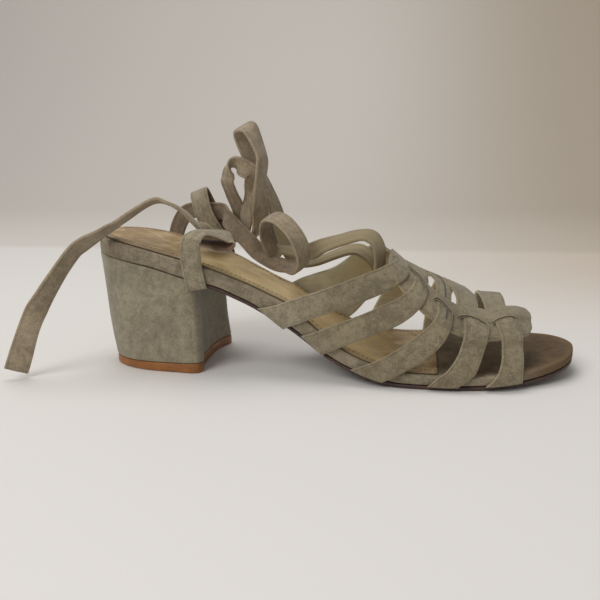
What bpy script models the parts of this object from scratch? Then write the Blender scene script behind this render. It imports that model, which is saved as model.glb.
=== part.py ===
"""Lace up heeled sandal for the right foot: covered heel, wrapped sole, woven strap upper, rear loops and two ties.

X runs from the heel to the toe, Y towards the inner (medial) side, Z up from the floor. Units are metres.
Stations in the tables count from the heel's rearmost point; objects are placed with the heel's ground face at 0.
"""

import math

import bmesh
import bpy
import numpy as np
from mathutils import Vector

NAME = "lace_up_heeled_sandal"
HEEL_CENTRE = 0.034
GAP = 0.0003
FOOT_GAP = 0.0006
SOLE_LENGTH = 0.240
BALL_HALF = 0.039
SEAT_HEIGHT = 0.060
OUTSOLE_THICKNESS = 0.0018
OUTSOLE_INSET = 0.0012
INSOLE_INSET = 0.0010
SOCK_THICKNESS = 0.0009
SOCK_INSET = 0.0026
SOCK_FRONT = 0.7167 * SOLE_LENGTH
BREAST_X = 0.2396 * SOLE_LENGTH
BREAST_GAP = 0.0012
LIFT_REAR = 0.0037
LIFT_FRONT = 0.0048
STRAP_THICKNESS = 0.0017
STRAP_RAISE = 0.0016
SPINE_LIFT = 0.0007
FOOT_DEGREES = 12.0
ARCH_CLEARANCE = 0.0005
LATERAL_FULLNESS = 1.5
MEDIAL_FULLNESS = 1.1
LOOP_WIDTH = 0.0100
LOOP_THICKNESS = 0.0018
TIE_WIDTH = 0.0090
TIE_THICKNESS = 0.0018
CUT_MARGIN = 0.0008
INSOLE_CHAMFER = 0.0008
OUTSOLE_CHAMFER = 0.0004
SOCK_CHAMFER = 0.0002
STRAP_CHAMFER = 0.0005

# Sole outline, heel to toe: along and out on the outer side, along and out on the inner side.
# The along columns are shares of SOLE_LENGTH, the out columns shares of BALL_HALF. The round tip ends at 0.989.
OUTLINE = (
    (0.0000, 0.000, 0.0000, 0.000),
    (0.0050, -0.205, 0.0050, 0.205),
    (0.0208, -0.397, 0.0208, 0.397),
    (0.0500, -0.559, 0.0500, 0.572),
    (0.0917, -0.662, 0.0917, 0.682),
    (0.1417, -0.708, 0.1417, 0.718),
    (0.1917, -0.723, 0.1917, 0.700),
    (0.2417, -0.723, 0.2417, 0.636),
    (0.3000, -0.703, 0.3000, 0.503),
    (0.3583, -0.692, 0.3583, 0.372),
    (0.4167, -0.718, 0.4167, 0.346),
    (0.4750, -0.774, 0.4750, 0.462),
    (0.5333, -0.859, 0.5333, 0.654),
    (0.5917, -0.938, 0.5917, 0.808),
    (0.6500, -0.987, 0.6500, 0.923),
    (0.7083, -1.000, 0.7083, 1.000),
    (0.7667, -0.990, 0.7667, 1.038),
    (0.8208, -0.944, 0.8208, 1.038),
    (0.8708, -0.845, 0.8708, 0.980),
    (0.9125, -0.710, 0.9125, 0.900),
    (0.9460, -0.560, 0.9460, 0.740),
    (0.9680, -0.415, 0.9680, 0.540),
    (0.9830, -0.220, 0.9830, 0.300),
    (0.9890, 0.030, 0.9890, 0.030),
)

# Side view of the insole: along, top, underside. Heights are shares of SEAT_HEIGHT.
PROFILE = (
    (0.0000, 1.1067, 0.9667),
    (0.0500, 1.0767, 0.9367),
    (0.1000, 1.0383, 0.9017),
    (0.1500, 0.9900, 0.8633),
    (0.1917, 0.9467, 0.8133),
    (0.2375, 0.8933, 0.7600),
    (0.2833, 0.8333, 0.7150),
    (0.3167, 0.7800, 0.6567),
    (0.3500, 0.7233, 0.5933),
    (0.3875, 0.6550, 0.5100),
    (0.4233, 0.5867, 0.4333),
    (0.4517, 0.4983, 0.3583),
    (0.4958, 0.3617, 0.2333),
    (0.5417, 0.2433, 0.1383),
    (0.5917, 0.1650, 0.0733),
    (0.6458, 0.1217, 0.0383),
    (0.6708, 0.1150, 0.0350),
    (0.7583, 0.1083, 0.0350),
    (0.7917, 0.1060, 0.0385),
    (0.8292, 0.1107, 0.0475),
    (0.8667, 0.1217, 0.0583),
    (0.9042, 0.1400, 0.0750),
    (0.9375, 0.1617, 0.0975),
    (0.9667, 0.1883, 0.1267),
    (1.0000, 0.2250, 0.1633),
)

# The arch that the straps lie on: along, crown's offset (share of BALL_HALF), crown's height (share of SEAT_HEIGHT).
ARCH = (
    (0.3333, 0.051, 1.800),
    (0.3958, 0.051, 1.617),
    (0.4583, 0.051, 1.433),
    (0.5000, 0.064, 1.300),
    (0.5417, 0.077, 1.167),
    (0.5833, 0.090, 1.047),
    (0.6167, 0.103, 0.958),
    (0.6500, 0.115, 0.863),
    (0.6875, 0.154, 0.783),
    (0.7292, 0.205, 0.708),
    (0.7708, 0.256, 0.630),
    (0.8125, 0.308, 0.577),
    (0.8542, 0.359, 0.560),
    (0.8958, 0.385, 0.492),
    (0.9375, 0.385, 0.417),
)

# Cross straps, heel end first. Rows: degrees over the arch, back edge, front edge (shares of SOLE_LENGTH).
# Below 0 and above 180 the strap drops down the side of the insole.
STRAPS = {
    "instep": (
        (-12, 0.3669, 0.4188), (-6, 0.3932, 0.4419), (-1, 0.4138, 0.4594), (2, 0.4191, 0.4641),
        (6, 0.4254, 0.4696), (11, 0.4357, 0.4799), (17, 0.4508, 0.4955), (28, 0.4854, 0.5307),
        (37, 0.5170, 0.5662), (46, 0.5484, 0.6015), (52, 0.5693, 0.6215), (58, 0.5890, 0.6374),
        (66, 0.6125, 0.6533), (76, 0.6292, 0.6604), (88, 0.6250, 0.6617), (100, 0.6100, 0.6533),
        (116, 0.5792, 0.6250), (134, 0.5417, 0.5900), (154, 0.4938, 0.5375), (168, 0.4458, 0.4917),
        (182, 0.4000, 0.4479), (192, 0.3729, 0.4175),
    ),
    "second": (
        (-12, 0.4544, 0.4969), (-6, 0.4704, 0.5133), (-1, 0.4832, 0.5263), (2, 0.4870, 0.5303),
        (6, 0.4922, 0.5363), (11, 0.5019, 0.5481), (16, 0.5147, 0.5635), (26, 0.5474, 0.6023),
        (33, 0.5747, 0.6318), (40, 0.6019, 0.6560), (51, 0.6404, 0.6846), (60, 0.6621, 0.6950),
        (70, 0.6692, 0.6996), (80, 0.6667, 0.6983), (90, 0.6583, 0.6938), (105, 0.6375, 0.6771),
        (120, 0.6104, 0.6521), (140, 0.5688, 0.6125), (160, 0.5250, 0.5708), (176, 0.4896, 0.5354),
        (192, 0.4563, 0.4979),
    ),
    "third": (
        (-12, 0.5527, 0.6143), (-6, 0.5688, 0.6327), (-1, 0.5831, 0.6479), (2, 0.5877, 0.6522),
        (6, 0.5948, 0.6588), (11, 0.6080, 0.6713), (17, 0.6258, 0.6886), (27, 0.6584, 0.7163),
        (36, 0.6850, 0.7333), (44, 0.7063, 0.7413), (52, 0.7146, 0.7438), (60, 0.7125, 0.7438),
        (70, 0.7142, 0.7440), (80, 0.7130, 0.7400), (92, 0.7000, 0.7290), (110, 0.6710, 0.7060),
        (130, 0.6354, 0.6813), (150, 0.6042, 0.6563), (170, 0.5750, 0.6313), (192, 0.5500, 0.6104),
    ),
    "fourth": (
        (-12, 0.6979, 0.7542), (-4, 0.7125, 0.7717), (6, 0.7267, 0.7833), (17, 0.7425, 0.7917),
        (28, 0.7558, 0.8000), (40, 0.7633, 0.8088), (48, 0.7646, 0.8121), (55, 0.7592, 0.8054),
        (62, 0.7554, 0.7979), (70, 0.7542, 0.7971), (80, 0.7479, 0.7933), (90, 0.7375, 0.7813),
        (104, 0.7250, 0.7700), (122, 0.7125, 0.7583), (146, 0.7000, 0.7479), (170, 0.6917, 0.7438),
        (192, 0.6854, 0.7417),
    ),
    "toe": (
        (-12, 0.8042, 0.8729), (-4, 0.8188, 0.8733), (6, 0.8246, 0.8738), (17, 0.8304, 0.8746),
        (28, 0.8342, 0.8754), (38, 0.8338, 0.8750), (46, 0.8296, 0.8729), (54, 0.8221, 0.8696),
        (62, 0.8133, 0.8604), (70, 0.8092, 0.8542), (85, 0.8050, 0.8513), (104, 0.8008, 0.8492),
        (130, 0.7971, 0.8500), (160, 0.7954, 0.8521), (192, 0.7938, 0.8563),
    ),
}

# How far the front corner of each strap's ends runs down past the insole's underside.
FOOT_EXTRA = {"instep": 0.0030, "second": 0.0010, "third": 0.0006, "fourth": 0.0, "toe": 0.0}

# The lengthwise spine: along, then the degrees of its outer edge, its slits and its inner edge.
SPINE = (
    (0.6208, 68, 81, 95),
    (0.6417, 60, 78, 90),
    (0.6542, 56, 76, 86),
    (0.6667, 53, 73, 81),
    (0.6813, 50, 68, 75),
    (0.7000, 46.5, 61, 69),
    (0.7167, 44, 58.5, 66),
    (0.7417, 41, 54, 62.5),
    (0.7625, 40, 53, 62),
    (0.7792, 40, 54, 63.5),
    (0.7958, 40, 55, 65),
    (0.8125, 40, 55, 65),
    (0.8333, 40, 57, 68),
    (0.8583, 41.5, 59, 71),
    (0.8792, 43.5, 60.5, 74),
    (0.8938, 49, 61, 73),
    (0.8975, 53, 61, 70),
)

# Heel block, round the D from the rear: top along and out, bottom along and out, outer side first.
# The along columns are shares of SOLE_LENGTH, the out columns shares of BALL_HALF.
HEEL_OUTER = (
    (0.0033, 0.0000, 0.0292, 0.0000),
    (0.0075, -0.1949, 0.0321, -0.1923),
    (0.0233, -0.3769, 0.0429, -0.3692),
    (0.0517, -0.5308, 0.0663, -0.5179),
    (0.0921, -0.6333, 0.0996, -0.6308),
    (0.1417, -0.6821, 0.1417, -0.6974),
    (0.1917, -0.6974, 0.1917, -0.7282),
    (0.2300, -0.7000, 0.2340, -0.7400),
    (0.2350, -0.6850, 0.2392, -0.7280),
)
HEEL_BREAST = (
    (0.2325, -0.3590, 0.2355, -0.3590),
    (0.2303, 0.0000, 0.2330, 0.0000),
    (0.2325, 0.3333, 0.2358, 0.3590),
)
HEEL_INNER = (
    (0.2379, 0.5949, 0.2458, 0.7000),
    (0.2317, 0.6231, 0.2392, 0.7256),
    (0.1917, 0.6744, 0.1917, 0.7231),
    (0.1417, 0.6923, 0.1417, 0.6974),
    (0.0921, 0.6538, 0.0996, 0.6359),
    (0.0517, 0.5436, 0.0663, 0.5256),
    (0.0233, 0.3795, 0.0429, 0.3769),
    (0.0075, 0.1974, 0.0321, 0.1949),
)
# Height up the heel and how far its outline has moved from the bottom one to the top one.
HEEL_RISE = ((0.0, 0.0), (0.17, 0.28), (0.35, 0.50), (0.6, 0.66), (0.82, 0.84), (1.0, 1.0))

# Rear loops. Rows: along, out and up (shares of SOLE_LENGTH, BALL_HALF and SEAT_HEIGHT), then the direction across.
OUTER_LOOP = (
    (0.2458, -0.7333, 0.6967, 1.00, 0.00, 0.15),
    (0.2383, -0.7333, 0.8667, 1.00, 0.00, 0.10),
    (0.2367, -0.7487, 1.0000, 1.00, 0.00, 0.00),
    (0.2408, -0.7385, 1.0917, 0.97, -0.15, -0.10),
    (0.2550, -0.6615, 1.1417, 0.80, -0.60, -0.10),
    (0.2758, -0.5795, 1.1333, 0.52, -0.82, -0.20),
    (0.2983, -0.5077, 1.1067, 0.40, -0.82, -0.42),
    (0.3092, -0.4769, 1.0700, 0.40, -0.82, -0.42),
    (0.2988, -0.4974, 1.0333, 0.42, -0.80, -0.42),
    (0.2792, -0.5487, 1.0350, 0.45, -0.79, -0.42),
    (0.2633, -0.6103, 1.0533, 0.60, -0.75, -0.28),
    (0.2508, -0.6718, 1.0633, 0.85, -0.50, -0.15),
    (0.2425, -0.7333, 1.0667, 0.97, -0.20, -0.10),
)
INNER_LOOP = (
    (0.2500, 0.6641, 0.7083, 1.00, 0.02, 0.30),
    (0.2417, 0.6872, 0.8667, 1.00, 0.02, 0.30),
    (0.2271, 0.7385, 1.0167, 0.95, 0.00, 0.36),
    (0.2083, 0.7846, 1.1833, 0.93, 0.00, 0.38),
    (0.1917, 0.7846, 1.3333, 0.93, 0.00, 0.36),
    (0.1846, 0.7282, 1.4050, 0.94, 0.00, 0.34),
    (0.1883, 0.6410, 1.3533, 0.94, 0.00, 0.34),
    (0.2017, 0.5744, 1.2000, 0.94, 0.00, 0.36),
    (0.2208, 0.6051, 1.0500, 0.95, 0.00, 0.34),
    (0.2333, 0.6974, 0.9500, 0.97, 0.00, 0.30),
)

# Ties: loose flat bands. Rows as for the loops, then the width as a share of TIE_WIDTH.
# The inner one leaves the vamp on its outer side, makes one coil, passes the inner rear loop and hangs behind it.
INNER_TIE = (
    (0.6000, -0.1026, 0.7917, 0.50, 0.84, 0.10, 1.00),
    (0.6000, -0.1026, 0.8917, 0.50, 0.86, 0.05, 1.00),
    (0.5983, -0.1282, 0.9833, 0.52, 0.82, 0.18, 1.00),
    (0.5850, -0.1282, 1.0700, 0.37, 0.77, 0.51, 1.00),
    (0.5567, -0.1026, 1.0850, 0.08, 0.86, 0.50, 1.00),
    (0.4892, 0.0000, 0.9967, -0.26, 0.78, 0.57, 1.00),
    (0.4554, 0.1026, 0.9300, -0.46, 0.49, 0.74, 1.00),
    (0.4208, 0.2308, 0.9133, 0.30, 0.81, 0.51, 1.00),
    (0.3858, 0.2308, 0.9283, 0.25, 0.95, 0.20, 1.00),
    (0.3708, 0.1179, 0.9567, 0.62, 0.68, 0.40, 1.00),
    (0.3625, 0.0103, 1.1300, 0.62, 0.68, 0.40, 1.00),
    (0.3787, -0.1795, 1.2367, 0.62, 0.68, 0.40, 1.00),
    (0.4108, -0.3385, 1.2133, 0.62, 0.68, 0.40, 1.00),
    (0.4396, -0.3744, 1.0750, 0.62, 0.68, 0.40, 1.00),
    (0.4483, -0.2667, 0.9017, 0.62, 0.68, 0.40, 1.00),
    (0.4321, -0.0769, 0.7933, 0.62, 0.68, 0.40, 1.00),
    (0.4075, 0.0538, 0.8000, 0.62, 0.68, 0.40, 1.00),
    (0.3763, 0.0769, 0.8300, 0.57, 0.66, 0.49, 1.00),
    (0.3425, 0.1538, 0.9000, 0.58, 0.61, 0.54, 1.00),
    (0.3150, 0.2051, 1.0017, 0.72, 0.04, 0.69, 1.00),
    (0.2617, 0.5000, 1.1500, 0.45, 0.25, 0.85, 1.00),
    (0.2417, 0.6795, 1.2200, -0.10, 0.10, 0.98, 1.00),
    (0.2063, 0.7077, 1.2300, -0.35, 0.00, 0.93, 1.00),
    (0.1771, 0.7179, 1.2367, -0.50, 0.00, 0.87, 1.00),
    (0.1438, 0.8077, 1.1917, -0.78, 0.05, 0.62, 1.00),
    (0.1208, 0.8590, 1.0500, -0.93, 0.08, 0.36, 1.00),
    (0.1104, 0.8974, 0.8667, -0.99, 0.10, 0.10, 1.00),
    (0.1021, 0.9103, 0.4667, -0.98, 0.20, 0.00, 1.00),
    (0.0938, 0.8923, 0.2667, -0.98, 0.20, -0.10, 1.17),
)
# The outer one leaves the vamp further in, rises into the tall loop, then the small one, and hangs behind the heel.
OUTER_TIE = (
    (0.5917, 0.3077, 0.7583, 0.30, 0.90, 0.30, 1.00),
    (0.5729, 0.2949, 0.8750, 0.20, 0.84, 0.50, 1.00),
    (0.5367, 0.3333, 0.9250, 0.05, 0.89, 0.45, 1.00),
    (0.4521, 0.4359, 0.8000, 0.00, 0.95, 0.30, 1.00),
    (0.4183, 0.4615, 0.7950, 0.30, 0.93, 0.20, 1.00),
    (0.3942, 0.4615, 0.9183, 0.70, 0.68, 0.20, 1.00),
    (0.3783, 0.4359, 1.1317, 0.69, 0.71, 0.15, 1.00),
    (0.3667, 0.4103, 1.3017, 0.50, 0.86, 0.09, 1.00),
    (0.3567, 0.3718, 1.4233, 0.36, 0.93, 0.10, 1.00),
    (0.3463, 0.3333, 1.5383, 0.31, 0.95, 0.06, 1.00),
    (0.3262, 0.2564, 1.6917, 0.70, 0.68, 0.19, 1.00),
    (0.3113, 0.1282, 1.9167, 0.79, 0.49, 0.36, 1.00),
    (0.3362, -0.0513, 1.9417, 0.55, 0.72, 0.42, 1.00),
    (0.3592, -0.0769, 1.7433, 0.36, 0.93, -0.02, 1.00),
    (0.3596, -0.0513, 1.6317, 0.31, 0.94, -0.15, 1.00),
    (0.3467, 0.0769, 1.4250, 0.20, 0.96, -0.18, 1.00),
    (0.3442, 0.1795, 1.3033, 0.59, 0.78, -0.19, 1.00),
    (0.3421, 0.2821, 1.1850, 0.91, 0.41, 0.00, 1.00),
    (0.3317, 0.3846, 1.0750, 0.51, 0.86, 0.00, 1.00),
    (0.3138, 0.4667, 1.0183, -0.10, 1.00, 0.00, 1.00),
    (0.3021, 0.4667, 1.0950, -0.60, 0.80, 0.00, 1.00),
    (0.3075, 0.3846, 1.2300, -0.80, 0.60, 0.00, 1.00),
    (0.3183, 0.3077, 1.3800, -0.76, 0.65, 0.00, 0.90),
    (0.3283, 0.1923, 1.4867, -0.99, 0.10, 0.00, 0.90),
    (0.3325, 0.1282, 1.5717, -0.80, -0.21, -0.56, 0.90),
    (0.3179, 0.1026, 1.6133, -0.28, -0.20, -0.94, 1.00),
    (0.2975, 0.1410, 1.6533, -0.15, 0.60, -0.78, 1.00),
    (0.2825, 0.1538, 1.6217, -0.61, 0.71, -0.35, 1.00),
    (0.2775, 0.1795, 1.5467, -0.81, 0.59, 0.05, 1.00),
    (0.2758, 0.2051, 1.4783, -0.82, 0.56, 0.08, 1.00),
    (0.2842, 0.5692, 1.2333, -0.97, 0.20, 0.10, 1.00),
    (0.2867, 0.6872, 1.1083, -0.98, 0.10, 0.10, 1.00),
    (0.2771, 0.6154, 1.0083, -0.94, -0.30, 0.10, 1.00),
    (0.2563, 0.3077, 0.9967, -0.92, -0.38, 0.10, 1.00),
    (0.2400, 0.0256, 1.0583, -0.80, -0.50, 0.20, 1.00),
    (0.2233, -0.1795, 1.1650, -0.05, -0.95, 0.30, 1.00),
    (0.2017, -0.2692, 1.2783, -0.10, -0.95, 0.30, 1.00),
    (0.1738, -0.3205, 1.3517, -0.10, -0.95, 0.30, 1.00),
    (0.1379, -0.3590, 1.3717, 0.27, -0.92, 0.30, 1.00),
    (0.0704, -0.5641, 1.1933, 0.16, -0.92, 0.36, 1.00),
    (0.0488, -0.7051, 1.1333, 0.11, -0.85, 0.52, 1.00),
    (0.0183, -0.7692, 1.0633, -0.03, -0.72, 0.70, 1.00),
    (-0.0054, -0.8590, 0.9750, -0.08, -0.70, 0.71, 1.00),
    (-0.0533, -1.0128, 0.6750, -0.45, -0.66, 0.60, 1.07),
    (-0.0821, -1.1026, 0.4567, -0.97, -0.19, 0.17, 1.16),
    (-0.1167, -1.1923, 0.0667, -0.85, -0.45, 0.27, 1.27),
)


def curve_value(x, table, column):
    """A smooth value from a table whose first column rises."""
    xs = table[:, 0]
    ys = table[:, column]
    x = np.asarray(x, float)
    steps = np.diff(xs)
    slopes = np.diff(ys) / steps
    tangents = np.empty(len(xs))
    tangents[0] = slopes[0]
    tangents[-1] = slopes[-1]
    tangents[1:-1] = (slopes[:-1] * steps[1:] + slopes[1:] * steps[:-1]) / (steps[1:] + steps[:-1])
    i = np.clip(np.searchsorted(xs, x) - 1, 0, len(xs) - 2)
    t = (x - xs[i]) / steps[i]
    start = (2 * t**3 - 3 * t**2 + 1) * ys[i] + (t**3 - 2 * t**2 + t) * steps[i] * tangents[i]
    end = (3 * t**2 - 2 * t**3) * ys[i + 1] + (t**3 - t**2) * steps[i] * tangents[i + 1]
    return start + end


def smooth_path(points, steps, closed=False):
    """Points of a Catmull-Rom curve through the rows of an array, each span in equal steps."""
    points = np.asarray(points, float)
    if closed:
        padded = np.vstack([points[-1], points, points[0], points[1]])
    else:
        padded = np.vstack([2 * points[0] - points[1], points, 2 * points[-1] - points[-2]])
    found = []
    for k in range(1, len(padded) - 2):
        a, b, c, d = padded[k - 1 : k + 3]
        for t in np.arange(steps) / steps:
            found.append(
                0.5 * (2 * b + (c - a) * t + (2 * a - 5 * b + 4 * c - d) * t**2 + (3 * b - a - 3 * c + d) * t**3)
            )
    if not closed:
        found.append(points[-1])
    return np.array(found)


def scaled(table, *sizes):
    return np.array(table, float) * np.array(sizes, float)


OUTLINE_ROWS = scaled(OUTLINE, SOLE_LENGTH, BALL_HALF, SOLE_LENGTH, BALL_HALF)
PROFILE_ROWS = scaled(PROFILE, SOLE_LENGTH, SEAT_HEIGHT, SEAT_HEIGHT)
ARCH_ROWS = scaled(ARCH, SOLE_LENGTH, BALL_HALF, SEAT_HEIGHT)
SPINE_ROWS = scaled(SPINE, SOLE_LENGTH, 1, 1, 1)
SIDE_ROWS = OUTLINE_ROWS[4:20]


def insole_top(x):
    return curve_value(x, PROFILE_ROWS, 1)


def insole_under(x):
    """The insole's underside; where the sole meets the ground it is level."""
    return np.maximum(curve_value(x, PROFILE_ROWS, 2), GAP + OUTSOLE_THICKNESS)


def outline_pairs(inset, steps):
    """Matching points down the outer and the inner side of the sole, moved inwards by inset."""
    outer = OUTLINE_ROWS[:, 0:2]
    inner = OUTLINE_ROWS[-2:0:-1, 2:4]
    loop = smooth_path(np.vstack([outer, inner]), steps, closed=True)
    along = np.roll(loop, -1, axis=0) - np.roll(loop, 1, axis=0)
    along /= np.linalg.norm(along, axis=1)[:, None]
    loop = loop + inset * np.stack([-along[:, 1], along[:, 0]], axis=1)
    half = (len(outer) - 1) * steps
    outer_side = loop[1:half]
    inner_side = loop[: half : -1][: half - 1]
    return outer_side, inner_side


def new_object(name, vertices, faces, material):
    mesh = bpy.data.meshes.new(name)
    mesh.from_pydata([Vector(v) - Vector((HEEL_CENTRE, 0, 0)) for v in vertices], [], faces)
    mesh.materials.append(material)
    body = bmesh.new()
    body.from_mesh(mesh)
    bmesh.ops.recalc_face_normals(body, faces=body.faces)
    body.to_mesh(mesh)
    body.free()
    obj = bpy.data.objects.new(name, mesh)
    parts_collection.objects.link(obj)
    return obj


def loft(name, rings, material, smooth_angle=40):
    """A closed solid through rings of equal length, with flat ends."""
    count = len(rings[0])
    vertices = [tuple(point) for ring in rings for point in ring]
    faces = []
    for i in range(len(rings) - 1):
        for j in range(count):
            k = (j + 1) % count
            faces.append((i * count + j, i * count + k, (i + 1) * count + k, (i + 1) * count + j))
    faces.append(tuple(range(count)))
    faces.append(tuple((len(rings) - 1) * count + j for j in reversed(range(count))))
    obj = new_object(name, vertices, faces, material)
    obj.data.shade_smooth()
    obj.data.set_sharp_from_angle(angle=math.radians(smooth_angle))
    return obj


def slab_rings(outer, inner, top, under, chamfer, across):
    """One ring per row across a sole layer: along its top from the outer to the inner side, and back below."""
    rings = []
    for a, b in zip(outer, inner):
        out = (b - a) / np.linalg.norm(b - a)
        side = min(chamfer, 0.3 * np.linalg.norm(b - a))
        low = [a, a + out * side]
        stations = [a + (b - a) * (k + 1) / (across + 1) for k in range(across)]
        flat = [a + out * side, *stations, b - out * side]
        ring = [(p[0], p[1], top(p[0])) for p in flat]
        ring.append((b[0], b[1], top(b[0]) - chamfer))
        ring.append((b[0], b[1], under(b[0]) + chamfer))
        ring += [(p[0], p[1], under(p[0])) for p in reversed(flat)]
        ring.append((low[0][0], low[0][1], under(a[0]) + chamfer))
        ring.append((low[0][0], low[0][1], top(a[0]) - chamfer))
        rings.append(ring)
    return rings


def build_insole(material):
    outer, inner = outline_pairs(INSOLE_INSET, 2)
    return loft("insole", slab_rings(outer, inner, insole_top, insole_under, INSOLE_CHAMFER, 1), material)


def outsole_top(x):
    return insole_under(x) - GAP


def outsole_under(x):
    return insole_under(x) - GAP - OUTSOLE_THICKNESS


def clip_rows(outer, inner, low, high):
    """The rows between two stations, with a straight row added at each cut."""
    kept = [(a, b) for a, b in zip(outer, inner) if low + CUT_MARGIN < a[0] < high - CUT_MARGIN]
    for station, at_front in ((low, False), (high, True)):
        if not (outer[:, 0].min() < station < outer[:, 0].max()):
            continue
        a = np.array([station, np.interp(station, outer[:, 0], outer[:, 1])])
        b = np.array([station, np.interp(station, inner[:, 0], inner[:, 1])])
        kept.insert(len(kept) if at_front else 0, (a, b))
    return np.array([a for a, _ in kept]), np.array([b for _, b in kept])


def build_outsole(material):
    outer, inner = outline_pairs(OUTSOLE_INSET, 2)
    outer, inner = clip_rows(outer, inner, BREAST_X + BREAST_GAP, 1.0)
    return loft("outsole", slab_rings(outer, inner, outsole_top, outsole_under, OUTSOLE_CHAMFER, 1), material)


def build_sock(material):
    outer, inner = outline_pairs(SOCK_INSET, 2)
    outer, inner = clip_rows(outer, inner, -1.0, SOCK_FRONT)

    def top(x):
        return insole_top(x) + GAP + SOCK_THICKNESS

    def under(x):
        return insole_top(x) + GAP

    return loft("sock_lining", slab_rings(outer, inner, top, under, SOCK_CHAMFER, 1), material)


def heel_ring(share, heights):
    """The D outline of the heel: share 0 is its bottom, share 1 its top."""
    rows = scaled(HEEL_OUTER + HEEL_BREAST + HEEL_INNER, SOLE_LENGTH, BALL_HALF, SOLE_LENGTH, BALL_HALF)
    bottom = rows[:, 2:4]
    top = rows[:, 0:2]
    plan = bottom + (top - bottom) * share
    return [(p[0], p[1], heights(p[0], share)) for p in plan]


def lift_top(x):
    return LIFT_REAR + (LIFT_FRONT - LIFT_REAR) * x / BREAST_X


def build_heel(material):
    def height(x, rise):
        low = lift_top(x) + GAP
        high = insole_under(x) - GAP
        return low + (high - low) * rise

    rings = []
    for rise, share in HEEL_RISE:
        rings.append(heel_ring(share, lambda x, _, r=rise: height(x, r)))
    return loft("heel_block", rings, material)


def build_lift(material):
    low = heel_ring(0.0, lambda x, _: 0.0)
    high = heel_ring(0.0, lambda x, _: lift_top(x))
    return loft("heel_top_piece", [low, high], material)


def arch_point(x, degrees):
    """A point on the outer face of the straps, at a station and an angle over the foot."""
    outer = curve_value(x, SIDE_ROWS[:, 0:2], 1) + INSOLE_INSET - FOOT_GAP - STRAP_THICKNESS
    inner = curve_value(x, SIDE_ROWS[:, 2:4], 1) - INSOLE_INSET + FOOT_GAP + STRAP_THICKNESS
    base = insole_top(x) + ARCH_CLEARANCE
    crown_y = curve_value(x, ARCH_ROWS, 1)
    crown_z = curve_value(x, ARCH_ROWS, 2)
    angle = math.radians(min(max(degrees, 0), 180))
    reach = outer if degrees < 90 else inner
    y = crown_y + (reach - crown_y) * abs(math.cos(angle))
    fullness = LATERAL_FULLNESS if degrees < 90 else MEDIAL_FULLNESS
    z = base + (crown_z - base) * max(math.sin(angle), 0.0) ** fullness
    drop = max(-degrees, degrees - 180, 0) / FOOT_DEGREES
    return np.array([float(x), float(y), float(z - (base - insole_under(x)) * drop)])


def arch_normal(x, degrees):
    """The outward direction of the arch, level where a strap drops down the side."""
    d = min(max(degrees, 3), 177)
    across = arch_point(x, d + 1) - arch_point(x, d - 1)
    along = arch_point(x + 0.001, d) - arch_point(x - 0.001, d)
    normal = np.cross(along, across)
    if not 0 < degrees < 180:
        normal[2] = 0
    return normal / np.linalg.norm(normal)


def over_and_under(x, degrees):
    """How far a cross strap stands off the arch: over the spine's outer half, down its slit, under its inner half."""
    beside = max(x, SPINE_ROWS[0, 0])
    near, slit, far = (float(curve_value(beside, SPINE_ROWS, k)) for k in (1, 2, 3))
    stops = (near - 9, near - 2, slit - 1.5, slit + 1.5, far + 1, far + 9)
    levels = (0.0, STRAP_RAISE * 0.85, STRAP_RAISE * 0.85, -STRAP_RAISE * 0.35, -STRAP_RAISE * 0.35, 0.0)
    return float(np.interp(degrees, stops, levels))


def strap_section(x_back, x_front, degrees, extra):
    """A ring round a cross strap: outer face from back to front, inner face and back."""
    shares = (0.0, 0.1, 0.5, 0.9, 1.0)
    crowns = (-STRAP_CHAMFER, 0.0, 0.4 * STRAP_CHAMFER, 0.0, -STRAP_CHAMFER)
    outer = []
    inner = []
    for share, crown in zip(shares, crowns):
        x = x_back + (x_front - x_back) * share
        normal = arch_normal(x, degrees)
        stand = over_and_under(x, degrees)
        point = arch_point(x, degrees) + np.array([0, 0, -extra * share])
        outer.append(point + normal * (stand + crown))
        if share in (0.0, 0.5, 1.0):
            inner.append(point + normal * (stand - STRAP_THICKNESS - crown * 0.5))
    return outer + inner[::-1]


def strap_rings(name):
    table = np.array(STRAPS[name]) * np.array([1, SOLE_LENGTH, SOLE_LENGTH])
    slit = 58
    low = np.arange(-12, 38, 5.5)
    middle = np.arange(slit - 18, slit + 20, 3.4)
    high = np.linspace(slit + 25, 192, 15)
    rings = []
    for degrees in np.concatenate([low, middle, high]):
        back = float(curve_value(degrees, table, 1))
        front = float(curve_value(degrees, table, 2))
        drop = max(-degrees, degrees - 180, 0) / FOOT_DEGREES
        rings.append(strap_section(back, front, degrees, FOOT_EXTRA[name] * drop))
    return rings


def spine_rings():
    rings = []
    shares = (0.0, 0.06, 0.3, 0.52, 0.6, 0.8, 0.95, 1.0)
    lifts = (-0.4, 0.0, 0.0, 0.3, 1.0, 1.2, 1.0, 0.4)
    for x in np.linspace(SPINE_ROWS[0, 0], SPINE_ROWS[-1, 0], 22):
        near = float(curve_value(x, SPINE_ROWS, 1))
        far = float(curve_value(x, SPINE_ROWS, 3))
        outer = []
        inner = []
        for share, lift in zip(shares, lifts):
            degrees = near + (far - near) * share
            normal = arch_normal(x, degrees)
            point = arch_point(x, degrees)
            stand = SPINE_LIFT * lift
            outer.append(point + normal * stand)
            inner.append(point + normal * (max(stand, 0.0) - STRAP_THICKNESS))
        rings.append(outer + inner[::-1])
    return rings


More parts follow.
